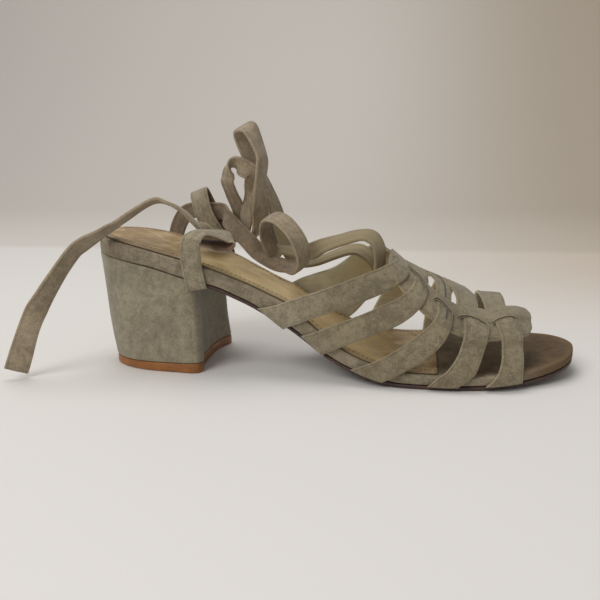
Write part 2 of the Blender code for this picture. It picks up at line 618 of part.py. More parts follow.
def join_solids(name, solids):
    """One body from solids that cross, by Boolean union."""
    base = solids[0]
    base.name = name
    for other in solids[1:]:
        modifier = base.modifiers.new("join", "BOOLEAN")
        modifier.operation = "UNION"
        modifier.solver = "EXACT"
        modifier.object = other
    graph = bpy.context.evaluated_depsgraph_get()
    mesh = bpy.data.meshes.new_from_object(base.evaluated_get(graph))
    body = bmesh.new()
    body.from_mesh(mesh)
    bmesh.ops.remove_doubles(body, verts=body.verts, dist=0.000005)
    bmesh.ops.dissolve_degenerate(body, edges=body.edges, dist=0.000005)
    body.to_mesh(mesh)
    body.free()
    base.modifiers.clear()
    base.data = mesh
    for other in solids[1:]:
        bpy.data.objects.remove(other)
    base.data.shade_smooth()
    base.data.set_sharp_from_angle(angle=math.radians(40))
    return base


def build_upper(material):
    solids = [loft("spine", spine_rings(), material)]
    for name in STRAPS:
        solids.append(loft("strap_" + name, strap_rings(name), material))
    return join_solids("upper", solids)


def band_rings(rows, width, thickness, steps):
    """Rings of a flat band along a smooth route; each row is a point, the direction across it and a width share."""
    path = smooth_path(rows, steps)
    points = path[:, :3]
    tangents = np.gradient(points, axis=0)
    tangents /= np.linalg.norm(tangents, axis=1)[:, None]
    rim = thickness / 2
    rings = []
    for point, tangent, row in zip(points, tangents, path):
        side = row[3:6] - tangent * (row[3:6] @ tangent)
        side /= np.linalg.norm(side)
        normal = np.cross(side, tangent)
        half = width * row[6] / 2
        shape = ((-half, 0.0), (rim - half, rim), (half - rim, rim), (half, 0.0), (half - rim, -rim), (rim - half, -rim))
        rings.append([point + side * a + normal * b for a, b in shape])
    return rings


def build_loop(name, rows, split, material):
    """A rear loop: a band up and over, and its second leg, joined where they meet."""
    rows = scaled([(*row, 1.0) for row in rows], SOLE_LENGTH, BALL_HALF, SEAT_HEIGHT, 1, 1, 1, 1)
    up = loft(name, band_rings(rows[: split + 1], LOOP_WIDTH, LOOP_THICKNESS, 4), material)
    down = loft(name + "_leg", band_rings(rows[split:], LOOP_WIDTH, LOOP_THICKNESS, 4), material)
    return join_solids(name, [up, down])


def build_tie(name, rows, material):
    rows = scaled(rows, SOLE_LENGTH, BALL_HALF, SEAT_HEIGHT, 1, 1, 1, 1)
    return loft(name, band_rings(rows, TIE_WIDTH, TIE_THICKNESS, 2), material)


def make_material(name, colour, roughness, metallic=0.0):
    material = bpy.data.materials.new(name)
    material.use_nodes = True
    shader = material.node_tree.nodes["Principled BSDF"]
    shader.inputs["Base Color"].default_value = (*colour, 1)
    shader.inputs["Roughness"].default_value = roughness
    shader.inputs["Metallic"].default_value = metallic
    return material


for old in list(bpy.data.objects):
    bpy.data.objects.remove(old)
parts_collection = bpy.data.collections.new(NAME)
bpy.context.scene.collection.children.link(parts_collection)

suede = make_material("taupe_suede", (0.27, 0.24, 0.18), 0.9)
strap_suede = make_material("taupe_strap_suede", (0.33, 0.30, 0.23), 0.9)
gold_leather = make_material("gold_leather", (0.62, 0.47, 0.28), 0.45, 0.4)
sole_leather = make_material("sole_leather", (0.16, 0.08, 0.05), 0.5)
lift_rubber = make_material("top_piece_rubber", (0.30, 0.12, 0.04), 0.5)

build_outsole(sole_leather)
build_insole(suede)
build_sock(gold_leather)
build_heel(suede)
build_lift(lift_rubber)
build_upper(strap_suede)
build_loop("outer_rear_loop", OUTER_LOOP, 6, strap_suede)
build_loop("inner_rear_loop", INNER_LOOP, 5, strap_suede)
build_tie("inner_tie", INNER_TIE, strap_suede)
build_tie("outer_tie", OUTER_TIE, strap_suede)
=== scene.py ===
"""Looks of the lace up heeled sandal: suede, gold lining, worn sole, woven straps, rear loops and ties.

X runs from heel to toe, Y to the inner (medial) side, Z up. Tables count X from the heel's rearmost point.
"""

import math

import bmesh
import bpy
import numpy as np
from mathutils import Matrix, Vector, noise


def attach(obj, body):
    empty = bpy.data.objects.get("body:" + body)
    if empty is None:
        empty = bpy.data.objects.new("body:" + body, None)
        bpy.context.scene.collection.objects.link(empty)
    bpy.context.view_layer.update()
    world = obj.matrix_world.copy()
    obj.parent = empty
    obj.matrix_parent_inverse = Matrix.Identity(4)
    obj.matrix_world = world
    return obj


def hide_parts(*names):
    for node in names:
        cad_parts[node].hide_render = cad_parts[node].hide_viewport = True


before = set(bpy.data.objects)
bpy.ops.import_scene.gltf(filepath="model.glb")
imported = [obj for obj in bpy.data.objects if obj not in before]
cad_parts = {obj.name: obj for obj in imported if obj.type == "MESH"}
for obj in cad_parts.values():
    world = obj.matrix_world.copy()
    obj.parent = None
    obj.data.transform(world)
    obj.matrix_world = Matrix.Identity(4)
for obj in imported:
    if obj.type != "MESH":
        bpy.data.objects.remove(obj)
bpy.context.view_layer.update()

HEEL_CENTRE = 0.034
GAP = 0.0003
FOOT_GAP = 0.0006
SOLE_LENGTH = 0.240
BALL_HALF = 0.039
SEAT_HEIGHT = 0.060
OUTSOLE_THICKNESS = 0.0018
OUTSOLE_INSET = 0.0012
INSOLE_INSET = 0.0010
SOCK_THICKNESS = 0.0009
SOCK_INSET = 0.0026
SOCK_FRONT = 0.7167 * SOLE_LENGTH
BREAST_X = 0.2396 * SOLE_LENGTH
BREAST_GAP = 0.0012
LIFT_REAR = 0.0037
LIFT_FRONT = 0.0048
STRAP_THICKNESS = 0.0017
STRAP_RAISE = 0.0016
SPINE_LIFT = 0.0007
FOOT_DEGREES = 12.0
ARCH_CLEARANCE = 0.0005
LATERAL_FULLNESS = 1.5
MEDIAL_FULLNESS = 1.1
LOOP_WIDTH = 0.0100
LOOP_THICKNESS = 0.0018
TIE_WIDTH = 0.0090
TIE_THICKNESS = 0.0018

# Sole outline, heel to toe: along and out on the outer side, along and out on the inner side.
# The along columns are shares of SOLE_LENGTH, the out columns shares of BALL_HALF.
# The round tip ends at 0.989.
OUTLINE = (
    (0.0000, 0.000, 0.0000, 0.000),
    (0.0050, -0.205, 0.0050, 0.205),
    (0.0208, -0.397, 0.0208, 0.397),
    (0.0500, -0.559, 0.0500, 0.572),
    (0.0917, -0.662, 0.0917, 0.682),
    (0.1417, -0.708, 0.1417, 0.718),
    (0.1917, -0.723, 0.1917, 0.700),
    (0.2417, -0.723, 0.2417, 0.636),
    (0.3000, -0.703, 0.3000, 0.503),
    (0.3583, -0.692, 0.3583, 0.372),
    (0.4167, -0.718, 0.4167, 0.346),
    (0.4750, -0.774, 0.4750, 0.462),
    (0.5333, -0.859, 0.5333, 0.654),
    (0.5917, -0.938, 0.5917, 0.808),
    (0.6500, -0.987, 0.6500, 0.923),
    (0.7083, -1.000, 0.7083, 1.000),
    (0.7667, -0.990, 0.7667, 1.038),
    (0.8208, -0.944, 0.8208, 1.038),
    (0.8708, -0.845, 0.8708, 0.980),
    (0.9125, -0.710, 0.9125, 0.900),
    (0.9460, -0.560, 0.9460, 0.740),
    (0.9680, -0.415, 0.9680, 0.540),
    (0.9830, -0.220, 0.9830, 0.300),
    (0.9890, 0.030, 0.9890, 0.030),
)

# Side view of the insole: along, top, underside. Heights are shares of SEAT_HEIGHT.
PROFILE = (
    (0.0000, 1.1067, 0.9667),
    (0.0500, 1.0767, 0.9367),
    (0.1000, 1.0383, 0.9017),
    (0.1500, 0.9900, 0.8633),
    (0.1917, 0.9467, 0.8133),
    (0.2375, 0.8933, 0.7600),
    (0.2833, 0.8333, 0.7150),
    (0.3167, 0.7800, 0.6567),
    (0.3500, 0.7233, 0.5933),
    (0.3875, 0.6550, 0.5100),
    (0.4233, 0.5867, 0.4333),
    (0.4517, 0.4983, 0.3583),
    (0.4958, 0.3617, 0.2333),
    (0.5417, 0.2433, 0.1383),
    (0.5917, 0.1650, 0.0733),
    (0.6458, 0.1217, 0.0383),
    (0.6708, 0.1150, 0.0350),
    (0.7583, 0.1083, 0.0350),
    (0.7917, 0.1060, 0.0385),
    (0.8292, 0.1107, 0.0475),
    (0.8667, 0.1217, 0.0583),
    (0.9042, 0.1400, 0.0750),
    (0.9375, 0.1617, 0.0975),
    (0.9667, 0.1883, 0.1267),
    (1.0000, 0.2250, 0.1633),
)

# The arch that the straps lie on: along, then the crown's offset (a share of BALL_HALF) and its height
# (a share of SEAT_HEIGHT).
ARCH = (
    (0.3333, 0.051, 1.800),
    (0.3958, 0.051, 1.617),
    (0.4583, 0.051, 1.433),
    (0.5000, 0.064, 1.300),
    (0.5417, 0.077, 1.167),
    (0.5833, 0.090, 1.047),
    (0.6167, 0.103, 0.958),
    (0.6500, 0.115, 0.863),
    (0.6875, 0.154, 0.783),
    (0.7292, 0.205, 0.708),
    (0.7708, 0.256, 0.630),
    (0.8125, 0.308, 0.577),
    (0.8542, 0.359, 0.560),
    (0.8958, 0.385, 0.492),
    (0.9375, 0.385, 0.417),
)

# Cross straps, heel end first. Rows: degrees over the arch, back edge, front edge (shares of SOLE_LENGTH).
# Below 0 and above 180 the strap drops down the side of the insole.
STRAPS = {
    "instep": (
        (-12, 0.3669, 0.4188), (-6, 0.3932, 0.4419), (-1, 0.4138, 0.4594), (2, 0.4191, 0.4641),
        (6, 0.4254, 0.4696), (11, 0.4357, 0.4799), (17, 0.4508, 0.4955), (28, 0.4854, 0.5307),
        (37, 0.5170, 0.5662), (46, 0.5484, 0.6015), (52, 0.5693, 0.6215), (58, 0.5890, 0.6374),
        (66, 0.6125, 0.6533), (76, 0.6292, 0.6604), (88, 0.6250, 0.6617), (100, 0.6100, 0.6533),
        (116, 0.5792, 0.6250), (134, 0.5417, 0.5900), (154, 0.4938, 0.5375), (168, 0.4458, 0.4917),
        (182, 0.4000, 0.4479), (192, 0.3729, 0.4175),
    ),
    "second": (
        (-12, 0.4544, 0.4969), (-6, 0.4704, 0.5133), (-1, 0.4832, 0.5263), (2, 0.4870, 0.5303),
        (6, 0.4922, 0.5363), (11, 0.5019, 0.5481), (16, 0.5147, 0.5635), (26, 0.5474, 0.6023),
        (33, 0.5747, 0.6318), (40, 0.6019, 0.6560), (51, 0.6404, 0.6846), (60, 0.6621, 0.6950),
        (70, 0.6692, 0.6996), (80, 0.6667, 0.6983), (90, 0.6583, 0.6938), (105, 0.6375, 0.6771),
        (120, 0.6104, 0.6521), (140, 0.5688, 0.6125), (160, 0.5250, 0.5708), (176, 0.4896, 0.5354),
        (192, 0.4563, 0.4979),
    ),
    "third": (
        (-12, 0.5527, 0.6143), (-6, 0.5688, 0.6327), (-1, 0.5831, 0.6479), (2, 0.5877, 0.6522),
        (6, 0.5948, 0.6588), (11, 0.6080, 0.6713), (17, 0.6258, 0.6886), (27, 0.6584, 0.7163),
        (36, 0.6850, 0.7333), (44, 0.7063, 0.7413), (52, 0.7146, 0.7438), (60, 0.7125, 0.7438),
        (70, 0.7142, 0.7440), (80, 0.7130, 0.7400), (92, 0.7000, 0.7290), (110, 0.6710, 0.7060),
        (130, 0.6354, 0.6813), (150, 0.6042, 0.6563), (170, 0.5750, 0.6313), (192, 0.5500, 0.6104),
    ),
    "fourth": (
        (-12, 0.6979, 0.7542), (-4, 0.7125, 0.7717), (6, 0.7267, 0.7833), (17, 0.7425, 0.7917),
        (28, 0.7558, 0.8000), (40, 0.7633, 0.8088), (48, 0.7646, 0.8121), (55, 0.7592, 0.8054),
        (62, 0.7554, 0.7979), (70, 0.7542, 0.7971), (80, 0.7479, 0.7933), (90, 0.7375, 0.7813),
        (104, 0.7250, 0.7700), (122, 0.7125, 0.7583), (146, 0.7000, 0.7479), (170, 0.6917, 0.7438),
        (192, 0.6854, 0.7417),
    ),
    "toe": (
        (-12, 0.8042, 0.8729), (-4, 0.8188, 0.8733), (6, 0.8246, 0.8738), (17, 0.8304, 0.8746),
        (28, 0.8342, 0.8754), (38, 0.8338, 0.8750), (46, 0.8296, 0.8729), (54, 0.8221, 0.8696),
        (62, 0.8133, 0.8604), (70, 0.8092, 0.8542), (85, 0.8050, 0.8513), (104, 0.8008, 0.8492),
        (130, 0.7971, 0.8500), (160, 0.7954, 0.8521), (192, 0.7938, 0.8563),
    ),
}

# How far the front corner of each strap's ends runs down past the insole's underside.
FOOT_EXTRA = {"instep": 0.0030, "second": 0.0010, "third": 0.0006, "fourth": 0.0, "toe": 0.0}

# The lengthwise spine: along, then the degrees of its outer edge, its slits and its inner edge.
SPINE = (
    (0.6208, 68, 81, 95),
    (0.6417, 60, 78, 90),
    (0.6542, 56, 76, 86),
    (0.6667, 53, 73, 81),
    (0.6813, 50, 68, 75),
    (0.7000, 46.5, 61, 69),
    (0.7167, 44, 58.5, 66),
    (0.7417, 41, 54, 62.5),
    (0.7625, 40, 53, 62),
    (0.7792, 40, 54, 63.5),
    (0.7958, 40, 55, 65),
    (0.8125, 40, 55, 65),
    (0.8333, 40, 57, 68),
    (0.8583, 41.5, 59, 71),
    (0.8792, 43.5, 60.5, 74),
    (0.8938, 49, 61, 73),
    (0.8975, 53, 61, 70),
)

# The piped lips of the slits that the straps dive into: along, then degrees over the arch.
SLIT_LIPS = {
    "second": (
        (0.6547, 78.8), (0.6609, 75.9), (0.6690, 74.3), (0.6773, 72.6), (0.6838, 69.8), (0.6889, 66.4),
        (0.6961, 61.1),
    ),
    "third": ((0.7052, 57.2), (0.7105, 58.9), (0.7162, 59.0), (0.7271, 56.6), (0.7357, 53.5), (0.7402, 52.4)),
    "fourth": (
        (0.7532, 50.3), (0.7585, 51.9), (0.7643, 52.8), (0.7755, 53.7), (0.7888, 53.0), (0.7996, 51.2),
        (0.8060, 50.3),
    ),
    "toe": ((0.8177, 51.6), (0.8296, 54.5), (0.8430, 56.3), (0.8559, 57.2), (0.8655, 56.6)),
}

# Heel block, round the D from the rear: top along and out, bottom along and out, outer side first.
# The along columns are shares of SOLE_LENGTH, the out columns shares of BALL_HALF.
HEEL_OUTER = (
    (0.0033, 0.0000, 0.0292, 0.0000),
    (0.0075, -0.1949, 0.0321, -0.1923),
    (0.0233, -0.3769, 0.0429, -0.3692),
    (0.0517, -0.5308, 0.0663, -0.5179),
    (0.0921, -0.6333, 0.0996, -0.6308),
    (0.1417, -0.6821, 0.1417, -0.6974),
    (0.1917, -0.6974, 0.1917, -0.7282),
    (0.2300, -0.7000, 0.2340, -0.7400),
    (0.2350, -0.6850, 0.2392, -0.7280),
)
HEEL_BREAST = (
    (0.2325, -0.3590, 0.2355, -0.3590),
    (0.2303, 0.0000, 0.2330, 0.0000),
    (0.2325, 0.3333, 0.2358, 0.3590),
)
HEEL_INNER = (
    (0.2379, 0.5949, 0.2458, 0.7000),
    (0.2317, 0.6231, 0.2392, 0.7256),
    (0.1917, 0.6744, 0.1917, 0.7231),
    (0.1417, 0.6923, 0.1417, 0.6974),
    (0.0921, 0.6538, 0.0996, 0.6359),
    (0.0517, 0.5436, 0.0663, 0.5256),
    (0.0233, 0.3795, 0.0429, 0.3769),
    (0.0075, 0.1974, 0.0321, 0.1949),
)
# Height up the heel and how far its outline has moved from the bottom one to the top one.
HEEL_RISE = ((0.0, 0.0), (0.17, 0.28), (0.35, 0.50), (0.6, 0.66), (0.82, 0.84), (1.0, 1.0))

# Rear loops. Rows: along, out and up (shares of SOLE_LENGTH, BALL_HALF and SEAT_HEIGHT), then the
# direction across.
OUTER_LOOP = (
    (0.2458, -0.7333, 0.6967, 1.00, 0.00, 0.15),
    (0.2383, -0.7333, 0.8667, 1.00, 0.00, 0.10),
    (0.2367, -0.7487, 1.0000, 1.00, 0.00, 0.00),
    (0.2408, -0.7385, 1.0917, 0.97, -0.15, -0.10),
    (0.2550, -0.6615, 1.1417, 0.80, -0.60, -0.10),
    (0.2758, -0.5795, 1.1333, 0.52, -0.82, -0.20),
    (0.2983, -0.5077, 1.1067, 0.40, -0.82, -0.42),
    (0.3092, -0.4769, 1.0700, 0.40, -0.82, -0.42),
    (0.2988, -0.4974, 1.0333, 0.42, -0.80, -0.42),
    (0.2792, -0.5487, 1.0350, 0.45, -0.79, -0.42),
    (0.2633, -0.6103, 1.0533, 0.60, -0.75, -0.28),
    (0.2508, -0.6718, 1.0633, 0.85, -0.50, -0.15),
    (0.2425, -0.7333, 1.0667, 0.97, -0.20, -0.10),
)
INNER_LOOP = (
    (0.2500, 0.6641, 0.7083, 1.00, 0.02, 0.30),
    (0.2417, 0.6872, 0.8667, 1.00, 0.02, 0.30),
    (0.2271, 0.7385, 1.0167, 0.95, 0.00, 0.36),
    (0.2083, 0.7846, 1.1833, 0.93, 0.00, 0.38),
    (0.1917, 0.7846, 1.3333, 0.93, 0.00, 0.36),
    (0.1846, 0.7282, 1.4050, 0.94, 0.00, 0.34),
    (0.1883, 0.6410, 1.3533, 0.94, 0.00, 0.34),
    (0.2017, 0.5744, 1.2000, 0.94, 0.00, 0.36),
    (0.2208, 0.6051, 1.0500, 0.95, 0.00, 0.34),
    (0.2333, 0.6974, 0.9500, 0.97, 0.00, 0.30),
)

# Ties: loose flat bands. Rows as for the loops, then the width as a share of TIE_WIDTH.
# The inner one leaves the vamp on its outer side, makes one coil, passes the inner rear loop and hangs
# behind it.
INNER_TIE = (
    (0.6000, -0.1026, 0.7917, 0.50, 0.84, 0.10, 1.00),
    (0.6000, -0.1026, 0.8917, 0.50, 0.86, 0.05, 1.00),
    (0.5983, -0.1282, 0.9833, 0.52, 0.82, 0.18, 1.00),
    (0.5850, -0.1282, 1.0700, 0.37, 0.77, 0.51, 1.00),
    (0.5567, -0.1026, 1.0850, 0.08, 0.86, 0.50, 1.00),
    (0.4892, 0.0000, 0.9967, -0.26, 0.78, 0.57, 1.00),
    (0.4554, 0.1026, 0.9300, -0.46, 0.49, 0.74, 1.00),
    (0.4208, 0.2308, 0.9133, 0.30, 0.81, 0.51, 1.00),
    (0.3858, 0.2308, 0.9283, 0.25, 0.95, 0.20, 1.00),
    (0.3708, 0.1179, 0.9567, 0.62, 0.68, 0.40, 1.00),
    (0.3625, 0.0103, 1.1300, 0.62, 0.68, 0.40, 1.00),
    (0.3787, -0.1795, 1.2367, 0.62, 0.68, 0.40, 1.00),
    (0.4108, -0.3385, 1.2133, 0.62, 0.68, 0.40, 1.00),
    (0.4396, -0.3744, 1.0750, 0.62, 0.68, 0.40, 1.00),
    (0.4483, -0.2667, 0.9017, 0.62, 0.68, 0.40, 1.00),
    (0.4321, -0.0769, 0.7933, 0.62, 0.68, 0.40, 1.00),
    (0.4075, 0.0538, 0.8000, 0.62, 0.68, 0.40, 1.00),
    (0.3763, 0.0769, 0.8300, 0.57, 0.66, 0.49, 1.00),
    (0.3425, 0.1538, 0.9000, 0.58, 0.61, 0.54, 1.00),
    (0.3150, 0.2051, 1.0017, 0.72, 0.04, 0.69, 1.00),
    (0.2617, 0.5000, 1.1500, 0.45, 0.25, 0.85, 1.00),
    (0.2417, 0.6795, 1.2200, -0.10, 0.10, 0.98, 1.00),
    (0.2063, 0.7077, 1.2300, -0.35, 0.00, 0.93, 1.00),
    (0.1771, 0.7179, 1.2367, -0.50, 0.00, 0.87, 1.00),
    (0.1438, 0.8077, 1.1917, -0.78, 0.05, 0.62, 1.00),
    (0.1208, 0.8590, 1.0500, -0.93, 0.08, 0.36, 1.00),
    (0.1104, 0.8974, 0.8667, -0.99, 0.10, 0.10, 1.00),
    (0.1021, 0.9103, 0.4667, -0.98, 0.20, 0.00, 1.00),
    (0.0938, 0.8923, 0.2667, -0.98, 0.20, -0.10, 1.17),
)
# The outer one leaves the vamp further in, rises into the tall loop, then the small one, and hangs
# behind the heel.
OUTER_TIE = (
    (0.5917, 0.3077, 0.7583, 0.30, 0.90, 0.30, 1.00),
    (0.5729, 0.2949, 0.8750, 0.20, 0.84, 0.50, 1.00),
    (0.5367, 0.3333, 0.9250, 0.05, 0.89, 0.45, 1.00),
    (0.4521, 0.4359, 0.8000, 0.00, 0.95, 0.30, 1.00),
    (0.4183, 0.4615, 0.7950, 0.30, 0.93, 0.20, 1.00),
    (0.3942, 0.4615, 0.9183, 0.70, 0.68, 0.20, 1.00),
    (0.3783, 0.4359, 1.1317, 0.69, 0.71, 0.15, 1.00),
    (0.3667, 0.4103, 1.3017, 0.50, 0.86, 0.09, 1.00),
    (0.3567, 0.3718, 1.4233, 0.36, 0.93, 0.10, 1.00),
    (0.3463, 0.3333, 1.5383, 0.31, 0.95, 0.06, 1.00),
    (0.3262, 0.2564, 1.6917, 0.70, 0.68, 0.19, 1.00),
    (0.3113, 0.1282, 1.9167, 0.79, 0.49, 0.36, 1.00),
    (0.3362, -0.0513, 1.9417, 0.55, 0.72, 0.42, 1.00),
    (0.3592, -0.0769, 1.7433, 0.36, 0.93, -0.02, 1.00),
    (0.3596, -0.0513, 1.6317, 0.31, 0.94, -0.15, 1.00),
    (0.3467, 0.0769, 1.4250, 0.20, 0.96, -0.18, 1.00),
    (0.3442, 0.1795, 1.3033, 0.59, 0.78, -0.19, 1.00),
    (0.3421, 0.2821, 1.1850, 0.91, 0.41, 0.00, 1.00),
    (0.3317, 0.3846, 1.0750, 0.51, 0.86, 0.00, 1.00),
    (0.3138, 0.4667, 1.0183, -0.10, 1.00, 0.00, 1.00),
    (0.3021, 0.4667, 1.0950, -0.60, 0.80, 0.00, 1.00),
    (0.3075, 0.3846, 1.2300, -0.80, 0.60, 0.00, 1.00),
    (0.3183, 0.3077, 1.3800, -0.76, 0.65, 0.00, 0.90),
    (0.3283, 0.1923, 1.4867, -0.99, 0.10, 0.00, 0.90),
    (0.3325, 0.1282, 1.5717, -0.80, -0.21, -0.56, 0.90),
    (0.3179, 0.1026, 1.6133, -0.28, -0.20, -0.94, 1.00),
    (0.2975, 0.1410, 1.6533, -0.15, 0.60, -0.78, 1.00),
    (0.2825, 0.1538, 1.6217, -0.61, 0.71, -0.35, 1.00),
    (0.2775, 0.1795, 1.5467, -0.81, 0.59, 0.05, 1.00),
    (0.2758, 0.2051, 1.4783, -0.82, 0.56, 0.08, 1.00),
    (0.2842, 0.5692, 1.2333, -0.97, 0.20, 0.10, 1.00),
    (0.2867, 0.6872, 1.1083, -0.98, 0.10, 0.10, 1.00),
    (0.2771, 0.6154, 1.0083, -0.94, -0.30, 0.10, 1.00),
    (0.2563, 0.3077, 0.9967, -0.92, -0.38, 0.10, 1.00),
    (0.2400, 0.0256, 1.0583, -0.80, -0.50, 0.20, 1.00),
    (0.2233, -0.1795, 1.1650, -0.05, -0.95, 0.30, 1.00),
    (0.2017, -0.2692, 1.2783, -0.10, -0.95, 0.30, 1.00),
    (0.1738, -0.3205, 1.3517, -0.10, -0.95, 0.30, 1.00),
    (0.1379, -0.3590, 1.3717, 0.27, -0.92, 0.30, 1.00),
    (0.0704, -0.5641, 1.1933, 0.16, -0.92, 0.36, 1.00),
    (0.0488, -0.7051, 1.1333, 0.11, -0.85, 0.52, 1.00),
    (0.0183, -0.7692, 1.0633, -0.03, -0.72, 0.70, 1.00),
    (-0.0054, -0.8590, 0.9750, -0.08, -0.70, 0.71, 1.00),
    (-0.0533, -1.0128, 0.6750, -0.45, -0.66, 0.60, 1.07),
    (-0.0821, -1.1026, 0.4567, -0.97, -0.19, 0.17, 1.16),
    (-0.1167, -1.1923, 0.0667, -0.85, -0.45, 0.27, 1.27),
)


def curve_value(x, table, column):
    """A smooth value from a table whose first column rises."""
    xs = table[:, 0]
    ys = table[:, column]
    x = np.asarray(x, float)
    steps = np.diff(xs)
    slopes = np.diff(ys) / steps
    tangents = np.empty(len(xs))
    tangents[0] = slopes[0]
    tangents[-1] = slopes[-1]
    tangents[1:-1] = (slopes[:-1] * steps[1:] + slopes[1:] * steps[:-1]) / (steps[1:] + steps[:-1])
    i = np.clip(np.searchsorted(xs, x) - 1, 0, len(xs) - 2)
    t = (x - xs[i]) / steps[i]
    start = (2 * t**3 - 3 * t**2 + 1) * ys[i] + (t**3 - 2 * t**2 + t) * steps[i] * tangents[i]
    end = (3 * t**2 - 2 * t**3) * ys[i + 1] + (t**3 - t**2) * steps[i] * tangents[i + 1]
    return start + end


def smooth_path(points, steps, closed=False):
    """Points of a Catmull-Rom curve through the rows of an array, each span in equal steps."""
    points = np.asarray(points, float)
    if closed:
        padded = np.vstack([points[-1], points, points[0], points[1]])
    else:
        padded = np.vstack([2 * points[0] - points[1], points, 2 * points[-1] - points[-2]])
    found = []
    for k in range(1, len(padded) - 2):
        a, b, c, d = padded[k - 1 : k + 3]
        for t in np.arange(steps) / steps:
            square = (2 * a - 5 * b + 4 * c - d) * t**2
            cube = (3 * b - a - 3 * c + d) * t**3
            found.append(0.5 * (2 * b + (c - a) * t + square + cube))
    if not closed:
        found.append(points[-1])
    return np.array(found)


def spline_through(points, steps):
    """Points of a closed curve through uneven corners, which doesn't swing out at the short sides."""
    padded = np.vstack([points[-3:], points, points[:3]])
    along = run_along(padded)
    table = np.column_stack([along, padded])
    found = []
    for k in range(3, 3 + len(points)):
        for t in np.arange(steps) / steps:
            at = along[k] + (along[k + 1] - along[k]) * t
            found.append([float(curve_value(at, table, c + 1)) for c in range(points.shape[1])])
    return np.array(found)


def scaled(table, *sizes):
    return np.array(table, float) * np.array(sizes, float)


def run_along(points):
    """The length of a path up to each of its points."""
    return np.concatenate([[0.0], np.cumsum(np.linalg.norm(np.diff(points, axis=0), axis=1))])


OUTLINE_ROWS = scaled(OUTLINE, SOLE_LENGTH, BALL_HALF, SOLE_LENGTH, BALL_HALF)
PROFILE_ROWS = scaled(PROFILE, SOLE_LENGTH, SEAT_HEIGHT, SEAT_HEIGHT)
ARCH_ROWS = scaled(ARCH, SOLE_LENGTH, BALL_HALF, SEAT_HEIGHT)
SPINE_ROWS = scaled(SPINE, SOLE_LENGTH, 1, 1, 1)
SIDE_ROWS = OUTLINE_ROWS[4:20]
STRAP_ROWS = {name: scaled(rows, 1, SOLE_LENGTH, SOLE_LENGTH) for name, rows in STRAPS.items()}
HEEL_ROWS = scaled(HEEL_OUTER + HEEL_BREAST + HEEL_INNER, SOLE_LENGTH, BALL_HALF, SOLE_LENGTH, BALL_HALF)


def insole_top(x):
    return curve_value(x, PROFILE_ROWS, 1)


def insole_under(x):
    return np.maximum(curve_value(x, PROFILE_ROWS, 2), GAP + OUTSOLE_THICKNESS)


def outline_loop(inset, steps):
    """The sole's outline, down the outer side and back up the inner side, moved inwards by inset."""
    outer = OUTLINE_ROWS[:, 0:2]
    inner = OUTLINE_ROWS[-2:0:-1, 2:4]
    loop = smooth_path(np.vstack([outer, inner]), steps, closed=True)
    along = np.roll(loop, -1, axis=0) - np.roll(loop, 1, axis=0)
    along /= np.linalg.norm(along, axis=1)[:, None]
    return loop + inset * np.stack([-along[:, 1], along[:, 0]], axis=1)


def outline_pairs(inset, steps):
    """Matching points down the outer and the inner side of the sole."""
    loop = outline_loop(inset, steps)
    half = (len(OUTLINE_ROWS) - 1) * steps
    return loop[1:half], loop[: half : -1][: half - 1]


def edge_distance(points, loop):
    """How far each point lies from a closed outline, seen from above."""
    start = loop[None, :, :]
    run = np.roll(loop, -1, axis=0)[None] - start
    to = points[:, None, :2] - start
    share = np.clip((to * run).sum(2) / np.maximum((run * run).sum(2), 1e-12), 0, 1)
    return np.linalg.norm(to - run * share[..., None], axis=2).min(1)


def wave(point, size, seed=0.0):
    """Smooth noise from -1 to 1 at a place, with lumps of about that size."""
    return noise.noise(Vector(point) / size + Vector((seed, 1.7 * seed, -seed)))


# Meshes.


def wrapped_grid(name, rings, route, materials, slots=None, levels=0, closed_ends=True):
    """A closed skin: a grid bent along a row of rings and round each, joined at its seam, its ends filled.

    route gives each point's pattern coordinates in metres: along, across. slots gives each strip's slot.
    """
    rings = np.asarray(rings, float)
    count = rings.shape[1]
    rows = rings.shape[0]
    body = bmesh.new()
    pattern = body.loops.layers.uv.new("route")
    bmesh.ops.create_grid(body, x_segments=count, y_segments=rows - 1, size=0.5, calc_uvs=True)
    body.verts.ensure_lookup_table()
    for index, vertex in enumerate(body.verts):
        row, column = divmod(index, count + 1)
        vertex.co = Vector(rings[row, column % count]) - Vector((HEEL_CENTRE, 0, 0))
    for face in body.faces:
        columns = [loop.vert.index % (count + 1) for loop in face.loops]
        for loop, column in zip(face.loops, columns):
            row = loop.vert.index // (count + 1)
            loop[pattern].uv = route[row][column % count]
        face.material_index = 0 if slots is None else slots[min(columns)]
        face.smooth = True
    bmesh.ops.remove_doubles(body, verts=body.verts, dist=1e-7)
    if closed_ends:
        rim = [edge for edge in body.edges if edge.is_boundary]
        bmesh.ops.holes_fill(body, edges=rim, sides=0)
    bmesh.ops.recalc_face_normals(body, faces=body.faces)
    return finished(name, body, materials, levels)


def finished(name, body, materials, levels=0):
    """Turns a bmesh into a piece of the scene that rides on the root body."""
    mesh = bpy.data.meshes.new(name)
    body.to_mesh(mesh)
    body.free()
    for material in materials:
        mesh.materials.append(material)
    piece = bpy.data.objects.new(name, mesh)
    bpy.context.scene.collection.objects.link(piece)
    if levels:
        smooth = piece.modifiers.new("smooth", "SUBSURF")
        smooth.levels = levels
        smooth.render_levels = levels
    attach(piece, "root")
    return piece


